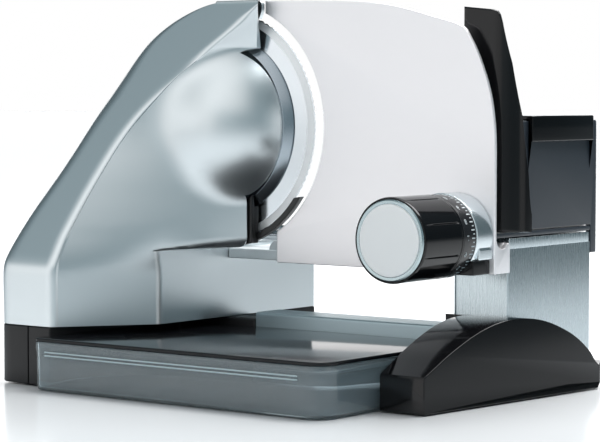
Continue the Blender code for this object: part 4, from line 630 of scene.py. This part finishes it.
bend_a = np.linspace(0, math.pi / 2, 10)
bridge_line = np.concatenate(([(0.1886, 0.0955), (0.1886, 0.1104), (0.0345, 0.1104)],
    np.stack((0.0332 - 0.0082 * np.sin(bend_a), 0.104 - 0.0085 * (1 - np.cos(bend_a))), 1)))
add_piece("bridge_sheet", "bridge", "frame", BRUSHED, "brushed_aluminium",
    slab(box_line(0.0196, 0.0886, 0.1079, 0.0964, 0.001), -0.0136, 0.1886, 0.0003, "X"),
    slab(bridge_line, 0.0201, 0.0234, 0.0004, "Y"))
RAIL_STEEL = make_finish("ground_rail_steel", (0.5, 0.52, 0.54), 0.18, 1.0, cloud=0.06,
    grain=0.0003, depth=2e-6, stretch=(0.05, 1, 1))
RAILS, RAIL_Z = (("front", 0.045), ("back", 0.1)), 0.1055
for side, y in RAILS:
    add_piece("rail_%s_bar" % side, "rail_" + side, "frame", RAIL_STEEL, "ground_rail_steel",
        turned(mm([(0, -104.4), (3.6, -104.4), (4, -104), (4, 188.6), (0, 188.6)]), "X",
        (0, y, RAIL_Z), 48))
add_piece("rail_end_block", "rail_block", "frame", MATT_BLACK, "matt_black",
    slab(box_line(-0.1144, 0.0351, -0.1049, 0.1099, 0.002), 0.1009, 0.1094, 0.001))


# Stop plate: 3 mm brushed aluminium, cut round the blade, with a hooked flange behind its lower
# edge that slides on the guide. The knob's collar is die-cast and screwed to its front.

PLATE_SHARES = mm([(40.2, 280.8), (80, 280), (122, 278.4), (156, 274.5), (188, 266.8),
    (214.6, 258.8), (220.5, 251), (225.4, 242.8), (230.3, 231.8), (234.4, 220.9), (237.7, 208.6),
    (239.8, 195), (240.8, 181.4), (240.9, 150)])
CUT_R, CUT_X = 0.0902, 0.0039
cut_low, cut_high = -math.acos((0.051 - CUT_X) / CUT_R), math.acos((0.0402 - CUT_X) / CUT_R)
cut = np.linspace(cut_low, cut_high, 90)
top_x, top_z = PLATE_SHARES.T
run = np.concatenate(([0], np.cumsum(np.hypot(np.diff(top_x), np.diff(top_z)))))
at = np.linspace(0, run[-1], 90)
plate_top = np.stack([flowing(np.stack((run, v), 1), at) for v in (top_x, top_z)], 1)
plate_outline = distinct(np.concatenate(([(0.051, 0.0893), (0.2409, 0.0893)], plate_top[::-1],
    on_circle(CUT_R, cut, CUT_X)[::-1])))
PLATE_FACE = make_finish("brushed_plate", (0.955, 0.935, 0.95), 0.48, 0.72, cloud=0.012,
    cloud_size=0.08, grain=0.00035, depth=3e-6, spread=0.06, stretch=(0.015, 1, 1))
add_piece("plate_face", "stop_plate", "plate", PLATE_FACE, "brushed_aluminium",
    slab(plate_outline, -0.003, -0.0001, 0.0007, "Y"))
for name, foot_z, low, high, edge in (("plate_hook_left", 0.0895, 0.0513, 0.1955, 0.0004),
        ("plate_hook_end", 0.0895, 0.2371, 0.2406, 0.0004),
        ("plate_hook_bar", 0.1, 0.1954, 0.2372, 0.0002)):
    hook = rounded([(-0.0012, foot_z, 0), (0.017, foot_z, 0.0008), (0.017, 0.108, 0.0006),
        (0.0155, 0.1104, 0.0007), (0.0135, 0.1092, 0.0012), (0.011, 0.107, 0.002),
        (0.008, 0.106, 0.003), (0.005, 0.1065, 0.002), (0.002, 0.109, 0.001),
        (0.0, 0.1128, 0.0004), (-0.0012, 0.1128, 0)], 4)
    add_piece(name, None, "plate", PLATE_FACE, "brushed_aluminium",
        slab(hook, low, high, edge, "X"))
add_piece("guide_rod_bar", "guide_rod", "plate", ZINC, "zinc_steel",
    turned(mm([(0, 7.3), (2.5, 7.3), (2.5, 57.5), (2.1, 57.9), (0, 57.9)]), "Y", (0.07, 0, 0.0925),
    40))

KNOB_X, KNOB_Z = 0.2106, 0.1155
KNOB_AXIS = "Y", (KNOB_X, 0, KNOB_Z)
collar_a = np.radians(np.linspace(-34.5, 214.5, 120))
collar_out = on_circle(0.0296, collar_a, KNOB_X, KNOB_Z)
collar_in = on_circle(0.0247, collar_a, KNOB_X, KNOB_Z)
collar_lobe = rounded([(0.2315, 0.0999, 0), (0.2399, 0.0999, 0.0012), (0.2399, 0.1072, 0.004),
    (0.2364, 0.114, 0)], 6, closed=False)
CAST = make_finish("cast_collar", (0.66, 0.72, 0.75), 0.22, 0.88, cloud=0.03, grain=0.0004,
    depth=6e-6, Coat_Weight=0.3, Coat_Roughness=0.08)
add_piece("cast_collar", "knob_collar", "plate", CAST, "silver_lacquer",
    slab(np.concatenate((collar_out, collar_in[::-1])), -0.0229, -0.0034, 0.0009, "Y", 5),
    slab(collar_lobe, -0.0199, -0.0034, 0.0012, "Y"))


# Thickness knob: a moulded black grip of eight smooth panels, a silver cap painted near white as
# its highlight, and a scale ring whose white marks and numbers are printed and stand 0.03 mm
# proud.

GRIP_R = 0.029
GROOVES = np.radians(22.5 + 45.0 * np.arange(8))
grip_profile = np.concatenate(([(0.0, -0.0812), (0.0277, -0.0812)],
    rounded(mm([(27.9, -81.2, 0), (27.9, -82.8, 0.3), (28.6, -82.9, 0.4), (29, -81.2, 0.6),
    (29, -70, 0)]), 5, closed=False), np.stack(
    (np.full(24, GRIP_R), np.linspace(-0.069, -0.0415, 24)), 1),
    rounded(mm([(29, -41, 0), (29, -40.2, 0.4), (28.4, -39.8, 0.2), (29, -39, 0.3),
    (29, -37.7, 0.3), (26.2, -37.7, 0)]), 4, closed=False), [(0.0262, -0.0786), (0.0, -0.0786)]))


def panel_grooves(angle, profile):
    """Eight grooves 0.8 mm deep: a Gauss bell of the distance to the nearest groove line, at
    full depth from y = -79.1 mm to -41.8 mm, widening into a small dot at its rear end."""
    away = np.min(np.abs((angle[None] - GROOVES[:, None] + math.pi) % (2 * math.pi) - math.pi),
        axis=0) * GRIP_R
    y = profile[:, 1:]
    along = np.clip((y + 0.0797) / 0.0006, 0, 1) * np.clip((-0.0412 - y) / 0.0006, 0, 1)
    outer = (profile[:, :1] > 0.0288)
    width = 0.00036 + 0.0004 * np.exp(-((y + 0.0422) / 0.0008) ** 2)
    return outer * along * (-0.0008 * np.exp(-(away[None] / width) ** 2))


add_piece("knob_panels", "knob_grip", "knob", GLOSS_BLACK, "gloss_black",
    turned(grip_profile, *KNOB_AXIS, 960, panel_grooves), sharp=32)
# Painted highlight: the silver cap gets a near-white colour with little metal, standing in for the
# bright light on its face.
CAP_PAINTED_HIGHLIGHT = make_finish("knob_cap_painted_highlight", (0.99, 0.99, 0.995), 0.4, 0.2, cloud=0.01,
    grain=0.0003, depth=3e-6)
CAP_RIM = make_finish("knob_rim_silver", (0.42, 0.5, 0.52), 0.22, 0.9, cloud=0.03)
cap_r = np.linspace(0.0238, 0, 14)
add_piece("knob_cap_disc", "knob_cap", "knob", CAP_PAINTED_HIGHLIGHT, "silver_lacquer",
    turned(np.concatenate(([(0, -0.0816), (0.0244, -0.0816), (0.0244, -0.0836), (0.0242, -0.084)],
    np.stack((cap_r, -0.0841 - 0.0007 * (1 - (cap_r / 0.0238) ** 2)), 1))), *KNOB_AXIS, 120))
add_piece("knob_cap_rim", None, "knob", CAP_RIM, "silver_lacquer",
    turned_ring([(24.5, -81.6, 0), (27.6, -81.6, 0), (27.6, -82.8, 0.5), (26.6, -84, 0.5),
    (24.5, -83.8, 0.3)], 4, *KNOB_AXIS, 120))

SCALE_BLACK = make_finish("scale_black", (0.02, 0.02, 0.022), 0.22, grain=0.0004, depth=4e-6,
    cloud=0.1)
PRINT_WHITE = make_finish("printed_white", (0.78, 0.82, 0.84), 0.4, cloud=0.03, grain=0.0002)
add_piece("scale_ring", "thickness_scale", "knob", SCALE_BLACK, "matt_black",
    turned_ring([(28.8, -23.3, 0.4), (28.8, -37.3, 0.6), (26.3, -37.3, 0.2), (26.3, -23.3, 0.2)],
    4, *KNOB_AXIS, 192), sharp=50)


SCALE_R, PRINT_HIGH = 0.0288, 3e-5


def on_ring(u, y, lift):
    """A flat patch laid on the ring: the length u along its skin becomes the angle u / radius."""
    angle, radius = u / SCALE_R, SCALE_R + lift
    return np.stack((KNOB_X + radius * np.cos(angle), y, KNOB_Z + radius * np.sin(angle)), -1)


marks = []
STEP = math.radians(5.625) * SCALE_R
for i in range(64):
    half_u, y0, y1 = (0.0004, -0.0282, -0.0244) if i % 2 == 0 else (0.00034, -0.0266, -0.0246)
    u = i * STEP + np.linspace(-half_u, half_u, 3)
    sides = (y0, -0.0001), (y0, PRINT_HIGH), (y1, PRINT_HIGH), (y1, -0.0001)
    marks.append((np.array([on_ring(u, np.full(3, y), lift) for y, lift in sides]), False, False))
add_piece("scale_marks", None, "knob", PRINT_WHITE, "silver_lacquer", *marks)

number_points, number_faces, start = [], [], 0
for i in range(15):
    words = bpy.data.curves.new("number", "FONT")
    words.body = str(i)
    words.size = 0.0054
    words.align_x, words.align_y = "CENTER", "CENTER"
    words.resolution_u = 3
    flat = new_object("number", words)
    bpy.context.view_layer.update()
    mesh = bpy.data.meshes.new_from_object(flat.evaluated_get(
        bpy.context.evaluated_depsgraph_get()))
    bpy.data.objects.remove(flat, do_unlink=True)
    points = np.array([v.co for v in mesh.vertices])
    centre_u = (i * 4 - 28) * STEP
    number_points.append(on_ring(centre_u + points[:, 1], -0.0326 - points[:, 0], PRINT_HIGH))
    number_faces += [tuple(v + start for v in p.vertices) for p in mesh.polygons]
    start += len(points)
number_mesh = bpy.data.meshes.new("scale_numbers")
number_mesh.from_pydata(np.concatenate(number_points) + np.array((AXIS_X, AXIS_Y, 0)), [],
    number_faces)
number_mesh.materials.append(PRINT_WHITE)
number_piece = new_object("scale_numbers", number_mesh)
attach(number_piece, "knob")


# Food carriage: a slate-coloured moulded table with a lip in front, a tall push wall, and four
# natural nylon shoes that clip round the rails.

SLATE = make_finish("slate_plastic", (0.035, 0.043, 0.055), 0.33, grain=0.0006, depth=2e-5,
    cloud=0.08, spread=0.05)
NYLON = make_finish("natural_nylon", (0.72, 0.7, 0.62), 0.42, grain=0.0008, depth=1e-5)
TABLE_LEFT, WALL_RIGHT, TABLE_TOP = 0.1, 0.236, 0.117
add_piece("carriage_tray", "carriage_table", "carriage", SLATE, "slate_plastic",
    slab(box_line(TABLE_LEFT, 0.003, WALL_RIGHT, 0.1319, (0.004, 0.0015, 0.0015, 0.006)),
        0.1133, TABLE_TOP, 0.001),
    slab(box_line(TABLE_LEFT + 0.002, 0.0033, 0.2355, 0.006, 0.001), 0.1091, 0.1138, 0.0005),
    *[slab(box_line(x, 0.012, x + 0.002, 0.122, 0.0009), 0.1165, TABLE_TOP + 0.00025, 0.0002)
        for x in (0.112, 0.12, 0.128)])
wall_side = rounded(mm([(12.5, 117.6, 1), (132.2, 117.6, 0.6), (132.2, 97.1, 1), (139.9, 97.1, 1),
    (139.9, 193.9, 2.2), (12.5, 193.9, 2)]))
add_piece("push_wall_panel", "push_wall", "carriage", SLATE, "slate_plastic",
    slab(wall_side, 0.2316, 0.2359, 0.0007, "X"))
for side, y in RAILS:
    for name, x in (("left", 0.106), ("right", 0.164)):
        bore = np.radians(np.linspace(-62, 242, 40))
        loop = np.concatenate((rounded([(y - 0.0045, 0.1011, 0), (y - 0.0079, 0.1011, 0.001),
            (y - 0.0079, 0.1128, 0.001), (y + 0.0079, 0.1128, 0.001), (y + 0.0079, 0.1011, 0.001),
            (y + 0.0045, 0.1011, 0)], 4, closed=False), on_circle(0.0043, bore, y, RAIL_Z)))
        shoe = "shoe_%s_%s" % (side, name)
        add_piece(shoe + "_clip", shoe, "carriage", NYLON, "natural_plastic",
            slab(loop, x + 0.0001, x + 0.0159, 0.0004, "X"))


# Hand guard: a high-gloss black shield, bent round the push wall's front corner and cut to the
# outline of a horn. Its edges are rounded all round.

GUARD_FRONT, GUARD_RIGHT, GUARD_BEND, GUARD_LEFT = 0.007, 0.252, 0.02, 0.208
HORN = mm([(0, 117.3), (0, 130), (-0.4, 159), (-2.2, 198), (-6.8, 234), (-13, 262), (-14.6, 267),
    (-16.5, 269.5), (-20, 270.5), (-44, 272.9)])
FLAT_RUN, GUARD_LOW = GUARD_RIGHT - GUARD_BEND - GUARD_LEFT, 0.1175


def guard_top(x):
    """The shield's upper edge over x: almost level, then falling steeply at the right."""
    return np.interp(x, (HORN[:, 0] + GUARD_RIGHT)[::-1], HORN[::-1, 1])


def guard_skin(s, t, inset):
    """Along the bend (s, metres of arc) the sheet runs flat, turns a quarter circle and ends
    going back; t climbs from the low edge to the horn's outline."""
    angle = np.clip((s - FLAT_RUN) / GUARD_BEND, 0, math.pi / 2)
    outer_x, x = [np.where(s < FLAT_RUN, GUARD_LEFT + s, GUARD_RIGHT - GUARD_BEND
        + r * np.sin(angle)) for r in (GUARD_BEND, GUARD_BEND - inset)]
    y = GUARD_FRONT + GUARD_BEND - (GUARD_BEND - inset) * np.cos(angle)
    return np.stack((x, y, GUARD_LOW + (guard_top(outer_x) - GUARD_LOW) * t), -1)


s_end = FLAT_RUN + GUARD_BEND * math.pi / 2
s = np.unique(np.concatenate((np.linspace(0, FLAT_RUN, 12),
    np.linspace(FLAT_RUN, s_end - 0.0001, 60))))
t = np.concatenate((np.linspace(0, 0.03, 5)[:-1], np.linspace(0.03, 0.985, 40),
    np.linspace(0.985, 1, 5)[1:]))
S, T = np.meshgrid(s, t)
ease = np.minimum(np.minimum(T / 0.012, (1 - T) / 0.008), S / 0.0012).clip(0, 1)
round_in = 0.0011 * (1 - np.sqrt(1 - (1 - ease) ** 2))
outer_skin, inner_skin = guard_skin(S, T, round_in), guard_skin(S, T, 0.004 - round_in)
ring = np.concatenate((outer_skin, inner_skin[::-1], outer_skin[:1]))
side_a = np.stack((outer_skin[:, 0], inner_skin[:, 0]))
side_b = np.stack((outer_skin[:, -1], inner_skin[:, -1]))
add_piece("horn_shield", "hand_guard", "carriage", GLOSS_BLACK, "gloss_black",
    (ring, False, False), (side_a, False, False), (side_b, False, False), sharp=50)


# Left-over pusher: a black clip that slides on the push wall's top edge, an arm, and a slate
# plate with blunt gripping ribs that presses the last piece of food to the blade.

clip_top, clip_in, clip_out = 0.1943, 0.2312, 0.2363
clip_line = rounded([(clip_in - 0.0032, 0.1177, 0.0008), (clip_in, 0.1177, 0.0006),
    (clip_in, clip_top, 0.0002), (clip_out, clip_top, 0.0002),
    (clip_out, clip_top - 0.015, 0.0006), (clip_out + 0.0031, clip_top - 0.015, 0.0008),
    (clip_out + 0.0031, clip_top + 0.0031, 0.0016), (clip_in - 0.0032, clip_top + 0.0031, 0.0014)],
    5)
add_piece("wall_clip", "pusher_clip", "pusher", GLOSS_BLACK, "gloss_black",
    slab(clip_line, 0.0471, 0.1299, 0.0006, "Y"))
PUSH_LOW, PUSH_HIGH, PUSH_LEFT, PUSH_RIGHT = 0.1177, 0.1879, 0.1301, 0.2059
push_face = box_line(PUSH_LEFT, PUSH_LOW, PUSH_RIGHT, PUSH_HIGH, (0.004, 0.004, 0.008, 0.014))
add_piece("presser_plate", "pusher_plate", "pusher", SLATE, "slate_plastic",
    slab(push_face, 0.0309, 0.034, 0.0009, "Y"),
    *[slab(box_line(PUSH_LEFT + 0.006, z, PUSH_RIGHT - 0.006, z + 0.0016, 0.0006),
        0.0301, 0.0315, 0.0005, "Y") for z in np.linspace(0.125, 0.178, 9)])
arm_line = rounded(mm([(186.1, 34.4, 1), (205.4, 34.4, 1), (205.4, 60, 4), (227.6, 60, 1.5),
    (227.6, 99.9, 1.5), (186.1, 99.9, 12)]))
add_piece("presser_arm", "pusher_arm", "pusher", SLATE, "slate_plastic",
    slab(arm_line, 0.1501, 0.1579, 0.0012))


# Catch tray and lid: a blow-clear smoked tub of 2 mm wall with a rolled rim and a step along its
# front, and a flat glossy lid that slides out towards the user.

SMOKE = make_finish("smoked_clear", (0.66, 0.75, 0.79), 0.05, cloud=0.03, cloud_size=0.05,
    grain=0.003, depth=2e-6, spread=0.01, Transmission_Weight=0.85, IOR=1.46)
TRAY_X0, TRAY_X1, TRAY_Y0, TRAY_Y1 = -0.0605, 0.2005, -0.143, 0.0186


def tray_line(inset):
    """The tub's plan at a distance inside its largest outline."""
    r, tight = 0.018 - inset, max(0.005 - inset, 0.001)
    return box_line(TRAY_X0 + inset, TRAY_Y0 + inset, TRAY_X1 - inset, TRAY_Y1 - inset,
        (tight, r, r, tight), 16)


outside = [(5, 0.6), (2.6, 0.9), (1.4, 1.8), (1, 3.5), (0.8, 18), (0.6, 29.5), (0.3, 30),
    (0.1, 30.6), (0.1, 34.5), (0.4, 35.4)]
inside = [(1.8, 35.4), (2.1, 34.7), (2.4, 32.5), (2.6, 18), (2.8, 4.5), (3.6, 3), (6, 2.6)]
tub_rows = [at_height(tray_line(inset), z) for inset, z in mm(outside + inside)]
ribs = [slab(box_line(-0.05, z, 0.179, z + 0.001, 0.0004), -0.1429, -0.1418, 0.0003, "Y")
    for z in (0.0255, 0.028)]
add_piece("smoked_tub", "catch_tray", "tray", SMOKE, "smoky_clear",
    (np.array(tub_rows), True, True))
RIB_LIGHT = make_finish("pale_rib", (0.62, 0.72, 0.76), 0.3, cloud=0.02, grain=0.002,
    depth=2e-6, spread=0.02)
add_piece("tub_ribs", None, "tray", RIB_LIGHT, "smoky_clear", *ribs)
LID_GLOSS = make_finish("lid_gloss", (0.008, 0.009, 0.011), 0.1, cloud=0.1, grain=0.004,
    depth=2e-6, spread=0.02, IOR=1.3)
add_piece("sliding_lid", "tray_lid", "lid", LID_GLOSS, "lid_gloss_black",
    slab(tray_line(0.0001), 0.0358, 0.0384, 0.0009))


# Back of the tower: a black cover with cooling slots between its bars, a rubber sleeve where the
# lead goes in, two crosshead screws, and the switch's rocker at the left.

COVER_LEFT, COVER_RIGHT, COVER_LOW, COVER_TOP = -0.0946, -0.0284, 0.0524, 0.0896
add_piece("vented_cover", "rear_cover", "frame", MATT_BLACK, "matt_black",
    slab(box_line(COVER_LEFT, COVER_LOW, COVER_RIGHT, COVER_TOP, 0.003),
        0.1271, 0.1291, 0.0004, "Y"),
    *[slab(box_line(-0.0879, z, -0.0584, z + 0.0021, 0.0008), 0.1288, 0.13, 0.0004, "Y")
        for z in 0.0596 + 0.00456 * np.arange(5)],
    slab(box_line(COVER_LEFT, COVER_LOW, COVER_RIGHT, COVER_LOW + 0.0022,
        (0.003, 0.003, 0.0006, 0.0006)), 0.1288, 0.13, 0.0004, "Y"),
    slab(box_line(COVER_LEFT, COVER_TOP - 0.0008, COVER_RIGHT, COVER_TOP, 0.0003),
        0.1288, 0.13, 0.0003, "Y"))
add_piece("lead_sleeve", "cord_gland", "frame", RUBBER, "black_rubber",
    turned_ring([(3.4, 123.2, 0.2), (4.7, 123.2, 0.2), (4.7, 130.4, 0), (7.1, 130.4, 0.6),
    (6.8, 134.6, 1.6), (3.4, 134.9, 0.8)], 5, "Y", (-0.04, 0, 0.066), 64))


def cross_recess(angle, profile):
    """Four arms in the screw's head: 0.6 mm times the size of sin(2 a), only on its middle."""
    middle_ring = (profile[:, :1] < 0.0013) * (profile[:, :1] > 0.0005)
    return -0.0006 * middle_ring * np.abs(np.sin(2 * angle))[None]


for name, x in (("rear_screw_1", -0.0915), ("rear_screw_2", -0.0315)):
    add_piece(name + "_head", name, "frame", ZINC, "zinc_steel",
        turned(mm([(2.2, 130.4), (2.2, 131), (1.8, 131.5), (1.2, 131.7), (0.7, 131.75),
        (0.4, 131.1), (0, 131)]), "Y", (x, 0, 0.0865), 40, cross_recess),
        turned(mm([(0, 130.4), (2.2, 130.4)]), "Y", (x, 0, 0.0865), 40))
add_piece("rocker_button", "switch_button", "button", GLOSS_BLACK, "gloss_black",
    slab(box_line(-0.0816, 0.0614, -0.0584, 0.0746, 0.0012), -0.1198, -0.1116, 0.0009, "X"),
    slab(box_line(-0.0786, 0.0676, -0.0746, 0.0684, 0.0003), -0.11989, -0.1194, 4e-5, "X"))


# Drive inside the tower: motor with its windings and fan, a brass worm and a nylon worm wheel.
# They show only when the housing is opened, so the solids stay, with their own finishes.

COPPER = make_finish("copper_winding", (0.62, 0.27, 0.11), 0.3, 0.9, cloud=0.2, cloud_size=0.004,
    grain=0.0004, depth=5e-5, stretch=(1, 1, 0.2))
BRASS = make_finish("turned_brass", (0.74, 0.55, 0.24), 0.26, 1.0, cloud=0.06, grain=0.0003,
    stretch=(0.1, 0.1, 1))
for finish, nodes in ((ZINC, ("blade_axle", "motor_can", "motor_shaft", "cam_pin", "knob_pivot")),
        (NYLON, ("motor_lid", "motor_mount", "worm_bracket")), (COPPER, ("stator", "armature")),
        (MATT_BLACK, ("switch_body",)), (SATIN_BLACK, ("cam_drum",))):
    for node in nodes:
        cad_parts[node].data.materials[0] = finish
ROTOR_AXIS = "Z", (-0.0453, -0.024, 0)


def worm_thread(angle, profile):
    """One start of thread: 1.1 mm deep, sin of the angle less 2 pi times the height over the
    pitch of 2.65 mm."""
    outer = (profile[:, :1] > 0.0045) * (np.abs(profile[:, 1:] - AXIS_Z) < 0.0192)
    return outer * 0.00055 * (np.sin(angle[None] - 2 * math.pi * profile[:, 1:] / 0.00265) - 1)


worm_z = np.linspace(AXIS_Z - 0.0199, AXIS_Z + 0.0199, 220)
add_piece("brass_worm", "worm", "rotor", BRASS, "brass",
    turned(np.concatenate(([(0.0039, worm_z[0])], np.stack((np.full(220, 0.0051), worm_z), 1),
    [(0.0039, worm_z[-1])], [(0.0039, worm_z[0])])), *ROTOR_AXIS, 40, worm_thread))


def wheel_teeth(angle, profile):
    """Thirty teeth: 0.9 mm of sin(30 a) on the rim's points only."""
    outer = profile[:, :1] > 0.0385
    return outer * 0.00045 * (np.sin(angle * 30) - 1)[None]


add_piece("nylon_wheel", "worm_wheel", "blade", NYLON, "natural_plastic",
    turned_ring([(39.7, -20.1, 0.3), (39.7, -27.9, 0.3), (34.9, -27.9, 0.4), (34, -26.2, 0.6),
    (12, -26.2, 0.6), (11.5, -35.9, 0.3), (5.4, -35.9, 0.2), (5.4, -20.1, 0.2), (12, -20.1, 0.3),
    (12.5, -21.9, 0.6), (34, -21.9, 0.6), (34.9, -20.1, 0.4)], 3, *BLADE_AXIS, 480, wheel_teeth))
fan_parts = [turned_ring([(7, 92.9, 0.3), (7, 96.7, 0.3), (3.9, 96.7, 0.2), (3.9, 92.9, 0.2)], 3,
    *ROTOR_AXIS, 40), turned_ring([(18.9, 92.9, 0.2), (18.9, 94, 0.2), (6.6, 94, 0.2),
    (6.6, 92.9, 0.2)], 3, *ROTOR_AXIS, 72)]
for i in range(11):
    a = 2 * math.pi * i / 11
    r = np.linspace(0.0066, 0.0187, 8)
    sweep = a + 0.5 * (r - 0.0066) / 0.0121
    line = on_circle(r, sweep, *ROTOR_AXIS[1][:2])
    across = np.stack((-np.sin(sweep), np.cos(sweep)), 1) * 0.0004
    fan_parts.append(slab(np.concatenate((line + across, (line - across)[::-1])), 0.0936, 0.0967,
        0.0001))
add_piece("motor_fan", "cooling_fan", "rotor", MATT_BLACK, "matt_black", *fan_parts)


# Studio: a white table, a ring of light panels, one soft lamp behind, and the camera at the
# photograph's angle. The table is white to the camera, to gloss and through clear plastic, and
# the room is white to the camera and through clear plastic.

scene = bpy.context.scene
scene.view_settings.view_transform = "Standard"
camera_data = bpy.data.cameras.new("camera")
camera = new_object("camera", camera_data)
scene.camera = camera
camera_data.sensor_width, camera_data.lens = 36.0, 138.0
camera_data.clip_start, camera_data.clip_end = 0.05, 30.0
camera.location = (AXIS_X + 1.1, AXIS_Y - 1.318, 0.212)
AZIMUTH, PITCH = math.radians(38.0), math.radians(3.14)
camera.rotation_euler = (math.pi / 2 - PITCH, 0.0, AZIMUTH)

HALF_FLOOR = 30
TABLE_WHITE, BOUNCE_BLUE = (0.82, 0.835, 0.85, 1), (0.085, 0.145, 0.17, 1)
floor_mesh = bpy.data.meshes.new("table_top")
corners = [(x * HALF_FLOOR, y * HALF_FLOOR, 0) for x, y in ((-1, -1), (1, -1), (1, 1), (-1, 1))]
floor_mesh.from_pydata(corners, [], [(0, 1, 2, 3)])
floor = new_object("table_top", floor_mesh)
table_white = bpy.data.materials.new("table_white")
table_white.use_nodes = True
tree = table_white.node_tree


def seen_straight(tree, *rays):
    """1 for rays of the named kinds, 0 for all others."""
    kinds = add_node(tree, "LightPath", {})
    share = kinds.outputs[rays[0]]
    for ray in rays[1:]:
        share = add_node(tree, "Math", {0: share, 1: kinds.outputs[ray]},
            operation="MAXIMUM").outputs[0]
    return share


paper = add_node(tree, "Mix", {"A": BOUNCE_BLUE, "B": TABLE_WHITE,
    "Factor": seen_straight(tree, "Is Camera Ray", "Is Transmission Ray", "Is Glossy Ray")},
    data_type="RGBA")
shader = tree.nodes["Principled BSDF"]
tree.links.new(paper.outputs["Result"], shader.inputs["Base Color"])
shader.inputs["Roughness"].default_value = 0.2
shader.inputs["IOR"].default_value = 1.75
floor_mesh.materials.append(table_white)

# The room, by direction: light panels between darker gaps round the horizon, softer overhead.
ROOM_LIGHT = 1.6
world = bpy.data.worlds.new("studio")
scene.world = world
world.use_nodes = True
tree = world.node_tree
way = add_node(tree, "TexCoord", {}).outputs["Generated"]
split = add_node(tree, "SeparateXYZ", {0: way}).outputs
front_way = add_node(tree, "Math", {0: split["Y"], 1: -1.0}, operation="MULTIPLY").outputs[0]
compass = add_node(tree, "Math", {0: split["X"], 1: front_way}, operation="ARCTAN2").outputs[0]
round_share = add_node(tree, "MapRange", {"From Min": -math.pi, "From Max": math.pi,
    "Value": compass}).outputs["Result"]


def panels(stops):
    """A ring of panels: (degrees from the front towards the right, brightness) pairs. Dim
    panels are a little bluer."""
    ramp = add_node(tree, "ValToRGB", {"Fac": round_share})
    ramp.color_ramp.interpolation = "EASE"
    for i, (degrees, light) in enumerate(stops):
        place = (degrees + 180) / 360
        stop = (ramp.color_ramp.elements[i] if i < 2 else ramp.color_ramp.elements.new(place))
        stop.position = place
        blue = 1 - 0.28 * max(0.0, 1 - light)
        stop.color = (light * blue ** 2 / ROOM_LIGHT, light * (blue * 0.5 + 0.5) / ROOM_LIGHT,
            light / ROOM_LIGHT, 1)
    return ramp.outputs["Color"]


horizon = panels(((-180, 0.9), (180, 0.15), (-166, 1.6), (-124, 1.6), (-116, 0.1), (-98, 0.12),
    (-84, 0.5), (-66, 1.2), (-26, 1.4), (-6, 1.2), (16, 0.65), (48, 0.4), (62, 0.4), (76, 0.45),
    (87, 1.4), (100, 1.3), (112, 0.12), (146, 0.1)))
above = panels(((-180, 0.1), (180, 0.1), (-130, 0.08), (-105, 0.1), (-84, 0.14), (-68, 0.34),
    (-48, 0.48), (-28, 0.95), (-5, 1.35), (20, 1.2), (40, 0.95), (60, 0.35), (88, 0.2)))
height = add_node(tree, "MapRange", {"From Min": 0.17, "From Max": 0.45, "Value": split["Z"]},
    interpolation_type="SMOOTHSTEP")
shade = add_node(tree, "Mix", {"A": horizon, "B": above, "Factor": height.outputs["Result"]},
    data_type="RGBA")
room = tree.nodes["Background"]
tree.links.new(shade.outputs["Result"], room.inputs["Color"])
room.inputs["Strength"].default_value = ROOM_LIGHT
white = add_node(tree, "Background", {"Color": (1, 1, 1, 1)})
mix = add_node(tree, "MixShader", {0: seen_straight(tree, "Is Camera Ray", "Is Transmission Ray"),
    1: room.outputs[0], 2: white.outputs[0]})
tree.links.new(mix.outputs[0], tree.nodes["World Output"].inputs["Surface"])

lamp = bpy.data.lights.new("top_softbox", "AREA")
lamp.shape = "RECTANGLE"
lamp.size, lamp.size_y, lamp.energy = 1.7, 1.7, 76
softbox = new_object("top_softbox", lamp)
softbox.location = (0.2, 0.75, 1.8)
aim = Vector((0.0, -0.15, 0.0)) - softbox.location
softbox.rotation_euler = aim.to_track_quat("-Z", "Y").to_euler()
